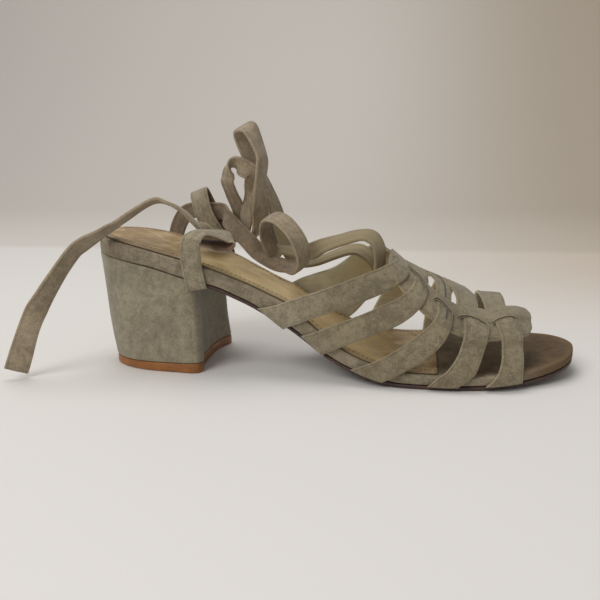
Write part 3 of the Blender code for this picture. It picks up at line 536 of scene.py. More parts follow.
def slab(name, outer, inner, top, under, radius, materials, across=16, loop=None):
    """A sole layer with rounded edges, in rings that run across its top and back below it."""
    turn = np.radians((0, 30, 60, 90))
    rings = []
    route = []
    for a, b in zip(outer, inner):
        width = np.linalg.norm(b - a)
        out = (b - a) / width
        rim = min(radius, 0.3 * width)
        flat = np.linspace(rim, width - rim, across)
        places = [(rim * (1 - math.sin(t)), radius * (math.cos(t) - 1), True) for t in turn[:0:-1]]
        places += [(s, 0.0, True) for s in flat]
        places += [(width - rim * (1 - math.sin(t)), radius * (math.cos(t) - 1), True) for t in turn[1:]]
        places += [(width - rim * (1 - math.sin(t)), -radius * (math.cos(t) - 1), False) for t in turn[:0:-1]]
        places += [(s, 0.0, False) for s in flat[::-1]]
        places += [(rim * (1 - math.sin(t)), -radius * (math.cos(t) - 1), False) for t in turn[1:]]
        ring = []
        for s, lift, on_top in places:
            p = a + out * s
            ring.append((p[0], p[1], float((top if on_top else under)(p[0])) + lift))
        rings.append(ring)
    rings = np.array(rings)
    if loop is None:
        loop = np.vstack([outer, inner[::-1]])
    for ring in rings:
        distance = edge_distance(ring, loop)
        route.append([(p[0], d) for p, d in zip(ring, distance)])
    return wrapped_grid(name, rings, route, materials)


def clip_rows(outer, inner, low, high):
    """The rows between two stations, with a straight row added at each cut."""
    kept = [(a, b) for a, b in zip(outer, inner) if low + 0.0004 < a[0] < high - 0.0004]
    for station, at_front in ((low, False), (high, True)):
        if not (outer[:, 0].min() < station < outer[:, 0].max()):
            continue
        a = np.array([station, np.interp(station, outer[:, 0], outer[:, 1])])
        b = np.array([station, np.interp(station, inner[:, 0], inner[:, 1])])
        kept.insert(len(kept) if at_front else 0, (a, b))
    return np.array([a for a, _ in kept]), np.array([b for _, b in kept])


# A strap's section. Rows: distance from its edge and height, both in half thicknesses.
OUTER_EDGE = ((0.0, 0.0), (0.12, 0.50), (0.45, 0.86), (1.0, 1.00), (1.9, 0.86), (2.6, 0.86), (3.6, 1.02))
INNER_EDGE = ((0.12, -0.50), (0.45, -0.86), (1.0, -1.00), (3.0, -1.00))


def band_section(width, thickness):
    """Across and height of the points round a band, outer face first, and how many are on that face."""
    half = thickness / 2
    outer = [(-width / 2 + e * half, h * half) for e, h in OUTER_EDGE]
    outer += [(-width * 0.12, 1.08 * half), (width * 0.12, 1.08 * half)]
    outer += [(width / 2 - e * half, h * half) for e, h in reversed(OUTER_EDGE)]
    inner = [(width / 2 - e * half, h * half) for e, h in INNER_EDGE]
    inner += [(0.0, -1.0 * half)]
    inner += [(-width / 2 + e * half, h * half) for e, h in reversed(INNER_EDGE)]
    points = np.array(outer + inner)
    return points[:, 0], points[:, 1], len(outer)


def arch_points(x, degrees):
    """Points on the outer face of the straps, at stations and angles over the foot."""
    outer = curve_value(x, SIDE_ROWS[:, 0:2], 1) + INSOLE_INSET - FOOT_GAP - STRAP_THICKNESS
    inner = curve_value(x, SIDE_ROWS[:, 2:4], 1) - INSOLE_INSET + FOOT_GAP + STRAP_THICKNESS
    base = insole_top(x) + ARCH_CLEARANCE
    crown_y = curve_value(x, ARCH_ROWS, 1)
    crown_z = curve_value(x, ARCH_ROWS, 2)
    angle = np.radians(np.clip(degrees, 0, 180))
    near = degrees < 90
    y = crown_y + (np.where(near, outer, inner) - crown_y) * np.abs(np.cos(angle))
    fullness = np.where(near, LATERAL_FULLNESS, MEDIAL_FULLNESS)
    z = base + (crown_z - base) * np.maximum(np.sin(angle), 0.0) ** fullness
    drop = np.maximum(np.maximum(-degrees, degrees - 180), 0) / FOOT_DEGREES
    return np.stack([x, y, z - (base - insole_under(x)) * drop], axis=-1)


def arch_normals(x, degrees):
    """The outward direction of the arch, level where a strap drops down the side."""
    d = np.clip(degrees, 3, 177)
    across = arch_points(x, d + 1) - arch_points(x, d - 1)
    along = arch_points(x + 0.001, d) - arch_points(x - 0.001, d)
    normal = np.cross(along, across)
    level = (degrees <= 0) | (degrees >= 180)
    normal[..., 2] = np.where(level, 0, normal[..., 2])
    return normal / np.linalg.norm(normal, axis=-1)[..., None]


def ease(t):
    t = np.clip(t, 0, 1)
    return t * t * (3 - 2 * t)


def over_and_under(x, degrees):
    """How far a cross strap stands off the arch: over the spine's outer half, then under its inner half."""
    beside = np.maximum(x, SPINE_ROWS[0, 0])
    near, slit, far = (curve_value(beside, SPINE_ROWS, k) for k in (1, 2, 3))
    high = STRAP_RAISE * 0.85
    low = -STRAP_RAISE * 0.35
    up = high * ease((degrees - near + 9) / 7)
    down = (high - low) * ease((degrees - slit + 1.5) / 3.5)
    back = -low * ease((degrees - far - 1) / 8)
    return up - down + back


def strap_grid(name, stations=150):
    """Rings, pattern coordinates and the angle of each ring of a cross strap."""
    table = STRAP_ROWS[name]
    degrees = np.linspace(-FOOT_DEGREES, 180 + FOOT_DEGREES, stations)
    back = curve_value(degrees, table, 1)
    front = curve_value(degrees, table, 2)
    drop = np.maximum(np.maximum(-degrees, degrees - 180), 0) / FOOT_DEGREES
    middle = arch_points((back + front) / 2, degrees)
    width = np.linalg.norm(arch_points(front, degrees) - arch_points(back, degrees), axis=1)
    along = run_along(middle)
    rings = []
    route = []
    for k, angle in enumerate(degrees):
        across, height, _ = band_section(width[k], STRAP_THICKNESS)
        share = 0.5 + across / width[k]
        x = back[k] + (front[k] - back[k]) * share
        d = np.full(len(x), angle)
        stand = over_and_under(x, d) + height - STRAP_THICKNESS / 2
        points = arch_points(x, d) + arch_normals(x, d) * stand[:, None]
        points[:, 2] -= FOOT_EXTRA[name] * drop[k] * share
        rings.append(points)
        route.append([(along[k], min(s, 1 - s) * width[k]) for s in share])
    return np.array(rings), np.array(route), degrees


def route_band(name, rows, width, thickness, steps, materials, seed, curl=0.0, ripple=0.0):
    """A flat band along a smooth route; rows hold a point, the direction across it and a width share."""
    rows = scaled(rows, SOLE_LENGTH, BALL_HALF, SEAT_HEIGHT, 1, 1, 1, 1)
    path = smooth_path(rows, steps)
    points = path[:, :3]
    tangents = np.gradient(points, axis=0)
    tangents /= np.linalg.norm(tangents, axis=1)[:, None]
    along = run_along(points)
    rings = []
    route = []
    for k, (point, tangent, row) in enumerate(zip(points, tangents, path)):
        side = row[3:6] - tangent * (row[3:6] @ tangent)
        side /= np.linalg.norm(side)
        normal = np.cross(side, tangent)
        own = width * row[6] * (1 + 0.03 * wave((along[k], seed, 0), 0.012))
        across, height, faces = band_section(own, thickness)
        bend = curl * wave((along[k], 0, seed), 0.022)
        lift = height + bend * ((2 * across / own) ** 2 - 0.4)
        lift = lift + ripple * wave((along[k], 3, seed), 0.009) * across / own * 2
        rings.append(point + np.outer(across, side) + np.outer(lift, normal))
        route.append([(along[k], own / 2 - abs(a)) for a in across])
    slots = [0 if c < faces - 1 else 1 for c in range(len(across))] if len(materials) > 1 else None
    piece = wrapped_grid(name, rings, route, materials, slots)
    return piece, points, along[-1]


# Materials.


def add(tree, kind, inputs=None, **settings):
    """A node with its settings and inputs; an input may be a value or another node's output."""
    made = tree.nodes.new(kind)
    for key, value in settings.items():
        setattr(made, key, value)
    for key, value in (inputs or {}).items():
        if isinstance(value, bpy.types.NodeSocket):
            tree.links.new(value, made.inputs[key])
        else:
            made.inputs[key].default_value = value
    return made


def maths(tree, operation, *values, clamp=False):
    made = add(tree, "ShaderNodeMath", dict(enumerate(values)), operation=operation, use_clamp=clamp)
    return made.outputs[0]


def weighed(tree, *parts):
    """The sum of some values, each times its own share."""
    total = None
    for value, share in parts:
        term = maths(tree, "MULTIPLY", value, share)
        total = term if total is None else maths(tree, "ADD", total, term)
    return total


def axes_of(tree, vector):
    """The X, Y and Z of a place, or how far along and across a pattern it lies."""
    return add(tree, "ShaderNodeSeparateXYZ", {"Vector": vector}).outputs


def between(tree, value, low, high, to_low=0.0, to_high=1.0):
    """A value eased from one range to another."""
    made = add(
        tree,
        "ShaderNodeMapRange",
        {"Value": value, "From Min": low, "From Max": high, "To Min": to_low, "To Max": to_high},
        interpolation_type="SMOOTHSTEP",
    )
    return made.outputs["Result"]


def mixed(tree, share, first, second, blend="MIX"):
    made = add(tree, "ShaderNodeMix", data_type="RGBA", blend_type=blend)
    for socket, value in ((made.inputs[0], share), (made.inputs[6], first), (made.inputs[7], second)):
        if isinstance(value, bpy.types.NodeSocket):
            tree.links.new(value, socket)
        else:
            socket.default_value = value if isinstance(value, float) else (*value, 1)[:4]
    return made.outputs[2]


def cloudy(tree, position, size, detail=4.0, roughness=0.6, distortion=0.0):
    """Noise with lumps of about that size, in metres."""
    inputs = {
        "Vector": position,
        "Scale": 1 / size,
        "Detail": detail,
        "Roughness": roughness,
        "Distortion": distortion,
    }
    return add(tree, "ShaderNodeTexNoise", inputs).outputs["Fac"]


def group_with(name, inputs, outputs):
    """An empty node group with those named sockets, its input node and its output node."""
    tree = bpy.data.node_groups.new(name, "ShaderNodeTree")
    for label, kind, value in inputs:
        socket = tree.interface.new_socket(label, in_out="INPUT", socket_type="NodeSocket" + kind)
        if value is not None:
            socket.default_value = value
    for label, kind in outputs:
        tree.interface.new_socket(label, in_out="OUTPUT", socket_type="NodeSocket" + kind)
    return tree, tree.nodes.new("NodeGroupInput"), tree.nodes.new("NodeGroupOutput")


def suede_nap_group():
    """Brushed suede: cloudy patches, nap brushed pale and dark, rubbed grime and a soft fibre height."""
    tree, given, result = group_with(
        "suede_nap",
        (
            ("Position", "Vector", None),
            ("Pale", "Color", (0.4, 0.37, 0.27, 1)),
            ("Deep", "Color", (0.26, 0.24, 0.17, 1)),
            ("Grime", "Color", (0.12, 0.09, 0.06, 1)),
            ("Grime Share", "Float", 0.3),
        ),
        (("Color", "Color"), ("Roughness", "Float"), ("Height", "Float")),
    )
    place = given.outputs["Position"]
    patches = cloudy(tree, place, 0.020, 5.0, 0.62, 0.6)
    strokes = cloudy(tree, place, 0.0034, 4.0, 0.6, 0.8)
    fibres = cloudy(tree, place, 0.0007, 2.0, 0.6)
    tone = weighed(tree, (patches, 0.34), (strokes, 0.36), (fibres, 0.30))
    nap = mixed(tree, between(tree, tone, 0.40, 0.60), given.outputs["Deep"], given.outputs["Pale"])
    flecks = between(tree, cloudy(tree, place, 0.0011, 2.0, 0.7), 0.66, 0.74, 0.0, 0.35)
    nap = mixed(tree, flecks, nap, (0.46, 0.41, 0.31))
    rubbed_and_shaded = between(tree, cloudy(tree, place, 0.024, 5.0, 0.68, 0.4), 0.5, 0.72)
    rubbed_and_shaded = maths(tree, "MULTIPLY", rubbed_and_shaded, given.outputs["Grime Share"])
    colour = mixed(tree, rubbed_and_shaded, nap, given.outputs["Grime"])
    height = weighed(tree, (strokes, 0.6), (fibres, 0.4))
    rough = between(tree, fibres, 0.3, 0.7, 0.82, 0.97)
    for label, socket in (("Color", colour), ("Roughness", rough), ("Height", height)):
        tree.links.new(socket, result.inputs[label])
    return tree


def gold_hide_group():
    """Metallic-coated leather: fine grain, coating rubbed thin in patches, and soft long creases."""
    tree, given, result = group_with(
        "gold_hide",
        (
            ("Position", "Vector", None),
            ("Coating", "Color", (0.62, 0.50, 0.30, 1)),
            ("Bare", "Color", (0.50, 0.32, 0.18, 1)),
            ("Wear", "Float", 0.4),
        ),
        (("Color", "Color"), ("Roughness", "Float"), ("Metallic", "Float"), ("Height", "Float")),
    )
    place = given.outputs["Position"]
    stretched = add(tree, "ShaderNodeMapping", {"Vector": place, "Scale": (0.35, 1.0, 1.0)}).outputs[0]
    streaks = cloudy(tree, stretched, 0.006, 5.0, 0.65, 0.5)
    patches = cloudy(tree, place, 0.018, 5.0, 0.6)
    cells = add(tree, "ShaderNodeTexVoronoi", {"Vector": place, "Scale": 1500.0}, feature="DISTANCE_TO_EDGE")
    grain = between(tree, cells.outputs["Distance"], 0.0, 0.35)
    wear = between(tree, weighed(tree, (streaks, 0.6), (patches, 0.4)), 0.44, 0.66)
    wear = maths(tree, "MULTIPLY", wear, given.outputs["Wear"])
    colour = mixed(tree, wear, given.outputs["Coating"], given.outputs["Bare"])
    height = weighed(tree, (grain, 0.25), (streaks, 0.75))
    rough = between(tree, streaks, 0.3, 0.7, 0.36, 0.6)
    metal = maths(tree, "MULTIPLY_ADD", wear, -0.75, 0.75)
    for label, socket in (("Color", colour), ("Roughness", rough), ("Metallic", metal), ("Height", height)):
        tree.links.new(socket, result.inputs[label])
    return tree


def groove_group():
    """A double stitched line at two distances from an edge: a shade for the colour and a pressed height."""
    tree, given, result = group_with(
        "stitched_line",
        (
            ("Route", "Vector", None),
            ("Distance", "Float", 0.0028),
            ("Apart", "Float", 0.0012),
            ("Stitch", "Float", 0.0024),
        ),
        (("Shade", "Float"), ("Height", "Float")),
    )
    parts = axes_of(tree, given.outputs["Route"])
    across = parts["Y"]
    first = maths(tree, "ABSOLUTE", maths(tree, "SUBTRACT", across, given.outputs["Distance"]))
    second_at = maths(tree, "ADD", given.outputs["Distance"], given.outputs["Apart"])
    second = maths(tree, "ABSOLUTE", maths(tree, "SUBTRACT", across, second_at))
    groove = between(tree, maths(tree, "MINIMUM", first, second), 0.00014, 0.00056, 1.0, 0.0)
    turned = maths(tree, "MULTIPLY", parts["X"], 2 * math.pi)
    beat = maths(tree, "SINE", maths(tree, "DIVIDE", turned, given.outputs["Stitch"]))
    thread = between(tree, beat, -0.3, 0.5)
    shade = maths(tree, "MULTIPLY", groove, between(tree, thread, 0.0, 1.0, 1.0, 0.45))
    height = maths(tree, "MULTIPLY", groove, between(tree, thread, 0.0, 1.0, -1.0, -0.2))
    tree.links.new(shade, result.inputs["Shade"])
    tree.links.new(height, result.inputs["Height"])
    return tree


SUEDE_NAP = suede_nap_group()
GOLD_HIDE = gold_hide_group()
STITCHED_LINE = groove_group()


def use_group(tree, group, inputs):
    made = tree.nodes.new("ShaderNodeGroup")
    made.node_tree = group
    for key, value in inputs.items():
        if isinstance(value, bpy.types.NodeSocket):
            tree.links.new(value, made.inputs[key])
        else:
            made.inputs[key].default_value = value if isinstance(value, float) else (*value, 1)
    return made.outputs


def new_material(name):
    """An empty material, its tree, its shader and its position in the object's own frame."""
    material = bpy.data.materials.new(name)
    material.use_nodes = True
    tree = material.node_tree
    shader = tree.nodes["Principled BSDF"]
    place = tree.nodes.new("ShaderNodeTexCoord").outputs["Object"]
    return material, tree, shader, place


def route_of(tree):
    """Pattern coordinates that follow a piece: metres along it, metres across it."""
    return add(tree, "ShaderNodeUVMap", uv_map="route").outputs["UV"]


def bump(tree, shader, height, distance, strength=1.0):
    made = add(tree, "ShaderNodeBump", {"Height": height, "Distance": distance, "Strength": strength})
    tree.links.new(made.outputs["Normal"], shader.inputs["Normal"])


def suede(name, pale, deep, grime, share, depth=0.00016, edged=False, gilt=0.0, toe_darkening=0.0):
    """Suede in one colour family; edged rubs its rim pale and paints shade into the groove beside it, and
    gilt is the length that is toned gold.
    """
    material, tree, shader, place = new_material(name)
    inputs = {"Position": place, "Pale": pale, "Deep": deep, "Grime": grime, "Grime Share": share}
    nap = use_group(tree, SUEDE_NAP, inputs)
    colour = nap["Color"]
    if edged:
        parts = axes_of(tree, route_of(tree))
        rim = between(tree, parts["Y"], 0.0002, 0.0008, 0.26, 0.0)
        # The groove beside the rim is painted darker: painted shade in the groove.
        groove_shade = maths(tree, "ABSOLUTE", maths(tree, "SUBTRACT", parts["Y"], 0.0012))
        groove_shade = between(tree, groove_shade, 0.0, 0.0005, 0.30, 0.0)
        colour = mixed(tree, groove_shade, colour, tuple(0.45 * c for c in deep))
        colour = mixed(tree, rim, colour, tuple(1.22 * c for c in pale))
        if gilt:
            shown = between(tree, parts["X"], gilt - 0.02, gilt, 0.8, 0.0)
            colour = mixed(tree, shown, colour, GILT)
    # Darker towards the toe: the colour is multiplied down forward of the instep, by the given share.
    if toe_darkening:
        forward = between(tree, axes_of(tree, place)["X"], 0.066, 0.095, 0.0, toe_darkening)
        colour = mixed(tree, forward, colour, (0.76, 0.73, 0.66), "MULTIPLY")
    tree.links.new(colour, shader.inputs["Base Color"])
    tree.links.new(nap["Roughness"], shader.inputs["Roughness"])
    shader.inputs["Sheen Weight"].default_value = 0.25
    shader.inputs["Sheen Roughness"].default_value = 0.6
    shader.inputs["Specular IOR Level"].default_value = 0.2
    bump(tree, shader, nap["Height"], depth)
    return material


def insole_suede():
    """The wrap of the insole: suede at its edge, trodden brown and smooth where the toes rest."""
    material, tree, shader, place = new_material("insole_suede")
    inputs = {
        "Position": place,
        "Pale": (0.31, 0.262, 0.185),
        "Deep": (0.18, 0.148, 0.100),
        "Grime": GRIME,
        "Grime Share": 0.5,
    }
    nap = use_group(tree, SUEDE_NAP, inputs)
    spot = axes_of(tree, place)
    from_edge = axes_of(tree, route_of(tree))["Y"]
    cloud = cloudy(tree, place, 0.012, 5.0, 0.6, 0.5)
    forward = between(tree, spot["X"], 0.118, 0.150)
    ragged = maths(tree, "ADD", from_edge, maths(tree, "MULTIPLY", cloud, 0.004))
    inward = between(tree, ragged, 0.0025, 0.0085)
    patchy = between(tree, cloud, 0.25, 0.6, 0.65, 0.95)
    trodden = maths(tree, "MULTIPLY", maths(tree, "MULTIPLY", forward, inward), patchy)
    stains = between(tree, cloudy(tree, place, 0.005, 4.0, 0.65, 0.4), 0.35, 0.65)
    bed = mixed(tree, stains, (0.058, 0.034, 0.016), (0.110, 0.067, 0.033))
    toe_rim = maths(tree, "MULTIPLY", between(tree, spot["X"], 0.160, 0.190), 0.85)
    colour = mixed(tree, toe_rim, nap["Color"], (0.130, 0.078, 0.036))
    colour = mixed(tree, trodden, colour, bed)
    tree.links.new(colour, shader.inputs["Base Color"])
    tree.links.new(between(tree, trodden, 0.0, 1.0, 0.9, 0.62), shader.inputs["Roughness"])
    shader.inputs["Sheen Weight"].default_value = 0.03
    shader.inputs["Specular IOR Level"].default_value = 0.25
    bump(tree, shader, nap["Height"], 0.00014)
    return material


def sock_gold():
    """Gold sock lining: stitched twice round its edge, rubbed to tan at the heel and dull at the ball."""
    material, tree, shader, place = new_material("sock_gold")
    inputs = {"Position": place, "Coating": (0.92, 0.74, 0.42), "Bare": (0.50, 0.35, 0.185), "Wear": 0.6}
    hide = use_group(tree, GOLD_HIDE, inputs)
    inputs = {"Route": route_of(tree), "Distance": 0.0024, "Apart": 0.0014, "Stitch": 0.0022}
    line = use_group(tree, STITCHED_LINE, inputs)
    spot = axes_of(tree, place)
    cloud = cloudy(tree, place, 0.010, 5.0, 0.6, 0.5)
    at_heel = between(tree, spot["X"], 0.012, 0.034, 1.0, 0.0)
    heel_rub = maths(tree, "MULTIPLY", at_heel, between(tree, cloud, 0.3, 0.6, 0.55, 1.0))
    at_ball = between(tree, spot["X"], 0.072, 0.125)
    ball_rub = maths(tree, "MULTIPLY", at_ball, between(tree, cloud, 0.3, 0.6, 0.35, 0.85))
    colour = mixed(tree, heel_rub, hide["Color"], (0.32, 0.208, 0.10))
    colour = mixed(tree, ball_rub, colour, (0.235, 0.140, 0.062))
    colour = mixed(tree, line["Shade"], colour, (0.10, 0.062, 0.030))
    # The rim is painted darker: painted shade on the rounded edge, damping its highlight.
    from_edge = axes_of(tree, route_of(tree))["Y"]
    colour = mixed(tree, between(tree, from_edge, 0.0003, 0.0011, 0.8, 0.0), colour, (0.15, 0.105, 0.055))
    tree.links.new(colour, shader.inputs["Base Color"])
    rubbed_and_shaded = maths(tree, "MAXIMUM", heel_rub, ball_rub)
    coated = between(tree, rubbed_and_shaded, 0.0, 1.0, 1.0, 0.15)
    tree.links.new(maths(tree, "MULTIPLY", hide["Metallic"], coated), shader.inputs["Metallic"])
    tree.links.new(hide["Roughness"], shader.inputs["Roughness"])
    height = maths(tree, "ADD", maths(tree, "MULTIPLY", hide["Height"], 0.25), line["Height"])
    bump(tree, shader, height, 0.00045)
    return material


def lining_gold():
    """The pale gold lining on the inner face of every strap, painted darker and browner higher up: painted
    shade under the arch.
    """
    material, tree, shader, place = new_material("strap_lining")
    inputs = {"Position": place, "Coating": (0.80, 0.76, 0.58), "Bare": (0.42, 0.34, 0.22), "Wear": 0.5}
    hide = use_group(tree, GOLD_HIDE, inputs)
    # Painted shade: the lining darkens higher up the arch.
    rubbed_and_shaded = between(tree, axes_of(tree, place)["Z"], 0.048, 0.062, 0.0, 0.7)
    tree.links.new(mixed(tree, rubbed_and_shaded, hide["Color"], (0.17, 0.115, 0.055)), shader.inputs["Base Color"])
    for label in ("Roughness", "Metallic"):
        tree.links.new(hide[label], shader.inputs[label])
    bump(tree, shader, hide["Height"], 0.00008)
    return material


def plain_leather(name, pale, deep, roughness, coat=0.0):
    """Smooth or rubbed leather and rubber of the sole's edge and the top piece."""
    material, tree, shader, place = new_material(name)
    cloud = cloudy(tree, place, 0.007, 6.0, 0.65, 0.4)
    layers = add(tree, "ShaderNodeMapping", {"Vector": place, "Scale": (0.15, 0.15, 1.0)}).outputs[0]
    fine = cloudy(tree, layers, 0.0009, 3.0, 0.6)
    tone = weighed(tree, (cloud, 0.6), (fine, 0.4))
    tree.links.new(mixed(tree, between(tree, tone, 0.36, 0.64), deep, pale), shader.inputs["Base Color"])
    rough = between(tree, cloud, 0.3, 0.7, roughness - 0.08, roughness + 0.12)
    tree.links.new(rough, shader.inputs["Roughness"])
    shader.inputs["Coat Weight"].default_value = coat
    bump(tree, shader, tone, 0.00012)
    return material


GRIME = (0.13, 0.10, 0.065)
GILT = (0.29, 0.235, 0.130)
HEEL_GRIME = (0.11, 0.09, 0.058)
GILT_LENGTH = 0.085
strap_suede = suede(
    "strap_suede", (0.350, 0.300, 0.205), (0.195, 0.163, 0.105), GRIME, 0.35, edged=True, toe_darkening=0.85
)
tie_suede = suede(
    "tie_suede", (0.375, 0.302, 0.204), (0.232, 0.182, 0.118), GRIME, 0.35, edged=True, gilt=GILT_LENGTH
)
# A darker face for the inner tie: a darker lining, and painted shade for the inside of its coil.
shaded_tie_lining = suede(
    "shaded_tie_lining", (0.255, 0.192, 0.126), (0.150, 0.110, 0.070), GRIME, 0.30, edged=True, gilt=GILT_LENGTH
)
slit_shadow = plain_leather("slit_shadow", (0.045, 0.032, 0.020), (0.020, 0.014, 0.009), 0.8)
heel_suede = suede("heel_suede", (0.325, 0.285, 0.197), (0.205, 0.176, 0.118), HEEL_GRIME, 0.55, 0.0002)
# Dark brown inner face of the rear loops: a leather lining, and painted shade for the band's underside.
shaded_loop_lining = plain_leather("shaded_loop_lining", (0.20, 0.125, 0.075), (0.10, 0.060, 0.036), 0.6)
wrap_suede = insole_suede()
gold_sock = sock_gold()
strap_lining = lining_gold()
sole_edge = plain_leather("sole_edge", (0.085, 0.042, 0.030), (0.030, 0.018, 0.014), 0.5)
top_piece_rubber = plain_leather("top_piece_rubber", (0.34, 0.125, 0.022), (0.22, 0.080, 0.014), 0.45, 0.15)


# The camera, and the ties, which hang free.

TARGET = Vector((0.10369 - HEEL_CENTRE, 0.0, 0.03137))
CAMERA_DISTANCE = 0.35139
CAMERA_AZIMUTH = math.radians(9.87)
CAMERA_PITCH = math.radians(13.05)
CAMERA_ROLL = math.radians(-0.95)
CAMERA_LENS = 41.57


def place_camera():
    data = bpy.data.cameras.new("camera")
    data.sensor_width = 36
    data.lens = CAMERA_LENS
    data.clip_start = 0.01
    data.clip_end = 20
    camera = bpy.data.objects.new("camera", data)
    bpy.context.scene.collection.objects.link(camera)
    back = Vector(
        (
            math.sin(CAMERA_AZIMUTH) * math.cos(CAMERA_PITCH),
            -math.cos(CAMERA_AZIMUTH) * math.cos(CAMERA_PITCH),
            math.sin(CAMERA_PITCH),
        )
    )
    right = Vector((math.cos(CAMERA_AZIMUTH), math.sin(CAMERA_AZIMUTH), 0))
    up = back.cross(right)
    turn = Matrix.Rotation(CAMERA_ROLL, 3, back)
    right = turn @ right
    up = turn @ up
    place = Matrix((right, up, back)).transposed().to_4x4()
    place.translation = TARGET + back * CAMERA_DISTANCE
    camera.matrix_world = place
    bpy.context.scene.camera = camera


def build_tie(name, rows, seed, faces):
    """A limp flat tie along its route."""
    piece, points, length = route_band(
        name + "_band", rows, TIE_WIDTH, TIE_THICKNESS, 9, faces, seed, curl=0.0007, ripple=0.0004
    )
    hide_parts(name)


# The shoe's own pieces.

HEEL_UNEVEN = 0.00022
STRAP_UNEVEN = 0.00016
# The top piece's worn edges: share of its height, how far the outline draws in.
TOP_PIECE_EDGE = (
    (0.0, 0.0005), (0.06, 0.0001), (0.2, 0.0), (0.5, 0.0), (0.8, 0.0), (0.95, 0.0001), (1.0, 0.0003)
)
# The spine's section, from its outer to its inner edge: share across, height in SPINE_LIFT.
SPINE_SECTION = (
    (0.0, -0.9), (0.015, -0.35), (0.05, 0.0), (0.10, 0.1), (0.2, 0.0), (0.32, 0.0), (0.44, 0.1), (0.5, 0.35),
    (0.54, 0.85), (0.58, 1.2), (0.66, 1.3), (0.76, 1.25), (0.86, 1.25), (0.93, 1.1), (0.97, 0.9), (0.99, 0.4),
    (1.0, -0.3),
)


def build_heel():
    """The covered heel: its D outline softened, drawn in at the foot, under the insole."""
    top = spline_through(HEEL_ROWS[:, 0:2], 4)
    bottom = spline_through(HEEL_ROWS[:, 2:4], 4)
    middle = HEEL_ROWS[:, 2:4].mean(axis=0)
    rise_table = np.array(HEEL_RISE)
    rises = np.concatenate([[0.0, 0.004, 0.012], np.linspace(0.03, 0.97, 26), [0.988, 0.996, 1.0]])
    rim = {0.0: 0.0006, 0.004: 0.0002, 0.996: 0.0002, 1.0: 0.0006}
    rings = []
    route = []
    for rise in rises:
        share = float(curve_value(rise, rise_table, 1))
        plan = bottom + (top - bottom) * share
        out = plan - middle
        plan = plan - out / np.linalg.norm(out, axis=1)[:, None] * rim.get(float(rise), 0.0)
        low = LIFT_REAR + (LIFT_FRONT - LIFT_REAR) * plan[:, 0] / BREAST_X + GAP
        high = insole_under(plan[:, 0]) - GAP
        heights = low + (high - low) * rise
        ring = np.column_stack([plan, heights])
        lifts = [HEEL_UNEVEN * wave(p, 0.017, 3) for p in ring]
        ring[:, :2] += out / np.linalg.norm(out, axis=1)[:, None] * np.array(lifts)[:, None]
        rings.append(ring)
        along = run_along(plan)
        route.append([(a, h) for a, h in zip(along, heights)])
    piece = wrapped_grid("heel_cover", rings, route, [heel_suede])
    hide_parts("heel_block")


def build_top_piece():
    """The wedge of rubber that the heel stands on, its edges barely worn round."""
    plan = spline_through(HEEL_ROWS[:, 2:4], 4)
    middle = plan.mean(axis=0)
    out = plan - middle
    out /= np.linalg.norm(out, axis=1)[:, None]
    rings = []
    route = []
    for rise, inset in TOP_PIECE_EDGE:
        edge = plan - out * inset
        top = LIFT_REAR + (LIFT_FRONT - LIFT_REAR) * edge[:, 0] / BREAST_X
        ring = np.column_stack([edge, top * rise])
        rings.append(ring)
        along = run_along(edge)
        route.append([(a, h) for a, h in zip(along, ring[:, 2])])
    piece = wrapped_grid("worn_top_piece", rings, route, [top_piece_rubber])
    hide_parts("heel_top_piece")


def build_outsole():
    outer, inner = outline_pairs(OUTSOLE_INSET, 5)
    outer, inner = clip_rows(outer, inner, BREAST_X + BREAST_GAP, 1.0)

    def top(x):
        return insole_under(x) - GAP

    def under(x):
        return insole_under(x) - GAP - OUTSOLE_THICKNESS

    piece = slab("leather_outsole", outer, inner, top, under, 0.0006, [sole_edge])
    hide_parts("outsole")


def build_insole():
    outer, inner = outline_pairs(INSOLE_INSET, 5)
    loop = outline_loop(INSOLE_INSET, 3)
    piece = slab("wrapped_insole", outer, inner, insole_top, insole_under, 0.0011, [wrap_suede], 24, loop)
    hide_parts("insole")


def build_sock():
    outer, inner = outline_pairs(SOCK_INSET, 5)
    outer, inner = clip_rows(outer, inner, -1.0, SOCK_FRONT)
    loop = outline_loop(SOCK_INSET, 3)

    def top(x):
        return insole_top(x) + GAP + SOCK_THICKNESS

    def under(x):
        return insole_top(x) + GAP

    piece = slab("gold_sock_lining", outer, inner, top, under, 0.0004, [gold_sock], 24, loop)
    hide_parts("sock_lining")


def build_strap(name):
    rings, route, _ = strap_grid(name)
    _, _, faces = band_section(0.010, STRAP_THICKNESS)
    seed = 2.0 + 3.1 * list(STRAPS).index(name)
    for ring, along in zip(rings, route):
        out = ring[faces // 2] - ring[faces + 4]
        out = out / np.linalg.norm(out)
        lift = np.array([STRAP_UNEVEN * wave((along[0, 0], 2 * d, seed), 0.008, seed) for d in along[:, 1]])
        ring += out * lift[:, None]
    slots = [0 if c < faces - 1 else 1 for c in range(rings.shape[1])]
    piece = wrapped_grid("strap_" + name, rings, route, [strap_suede, strap_lining], slots)
    return piece


def build_spine():
    """The lengthwise spine: low along its outer half, lipped along the slits that the straps dive into."""
    shares, lifts = zip(*SPINE_SECTION)
    rings = []
    route = []
    for x in np.linspace(SPINE_ROWS[0, 0], SPINE_ROWS[-1, 0], 110):
        near, far = (float(curve_value(x, SPINE_ROWS, k)) for k in (1, 3))
        degrees = near + (far - near) * np.array(shares)
        xs = np.full(len(degrees), x)
        normals = arch_normals(xs, degrees)
        base = arch_points(xs, degrees)
        stand = SPINE_LIFT * np.array(lifts)
        outer = base + normals * stand[:, None]
        inner = base + normals * (np.maximum(stand, 0.0) - STRAP_THICKNESS)[:, None]
        ring = np.vstack([outer, inner[::-1]])
        rings.append(ring)
        across = [0.02 * min(s, 1 - s) for s in shares]
        route.append([(x, a) for a in across + across[::-1]])
    faces = len(shares)
    slots = [0 if c < faces else 1 for c in range(2 * faces)]
    piece = wrapped_grid("spine", rings, route, [strap_suede, strap_lining], slots)
    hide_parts("upper")


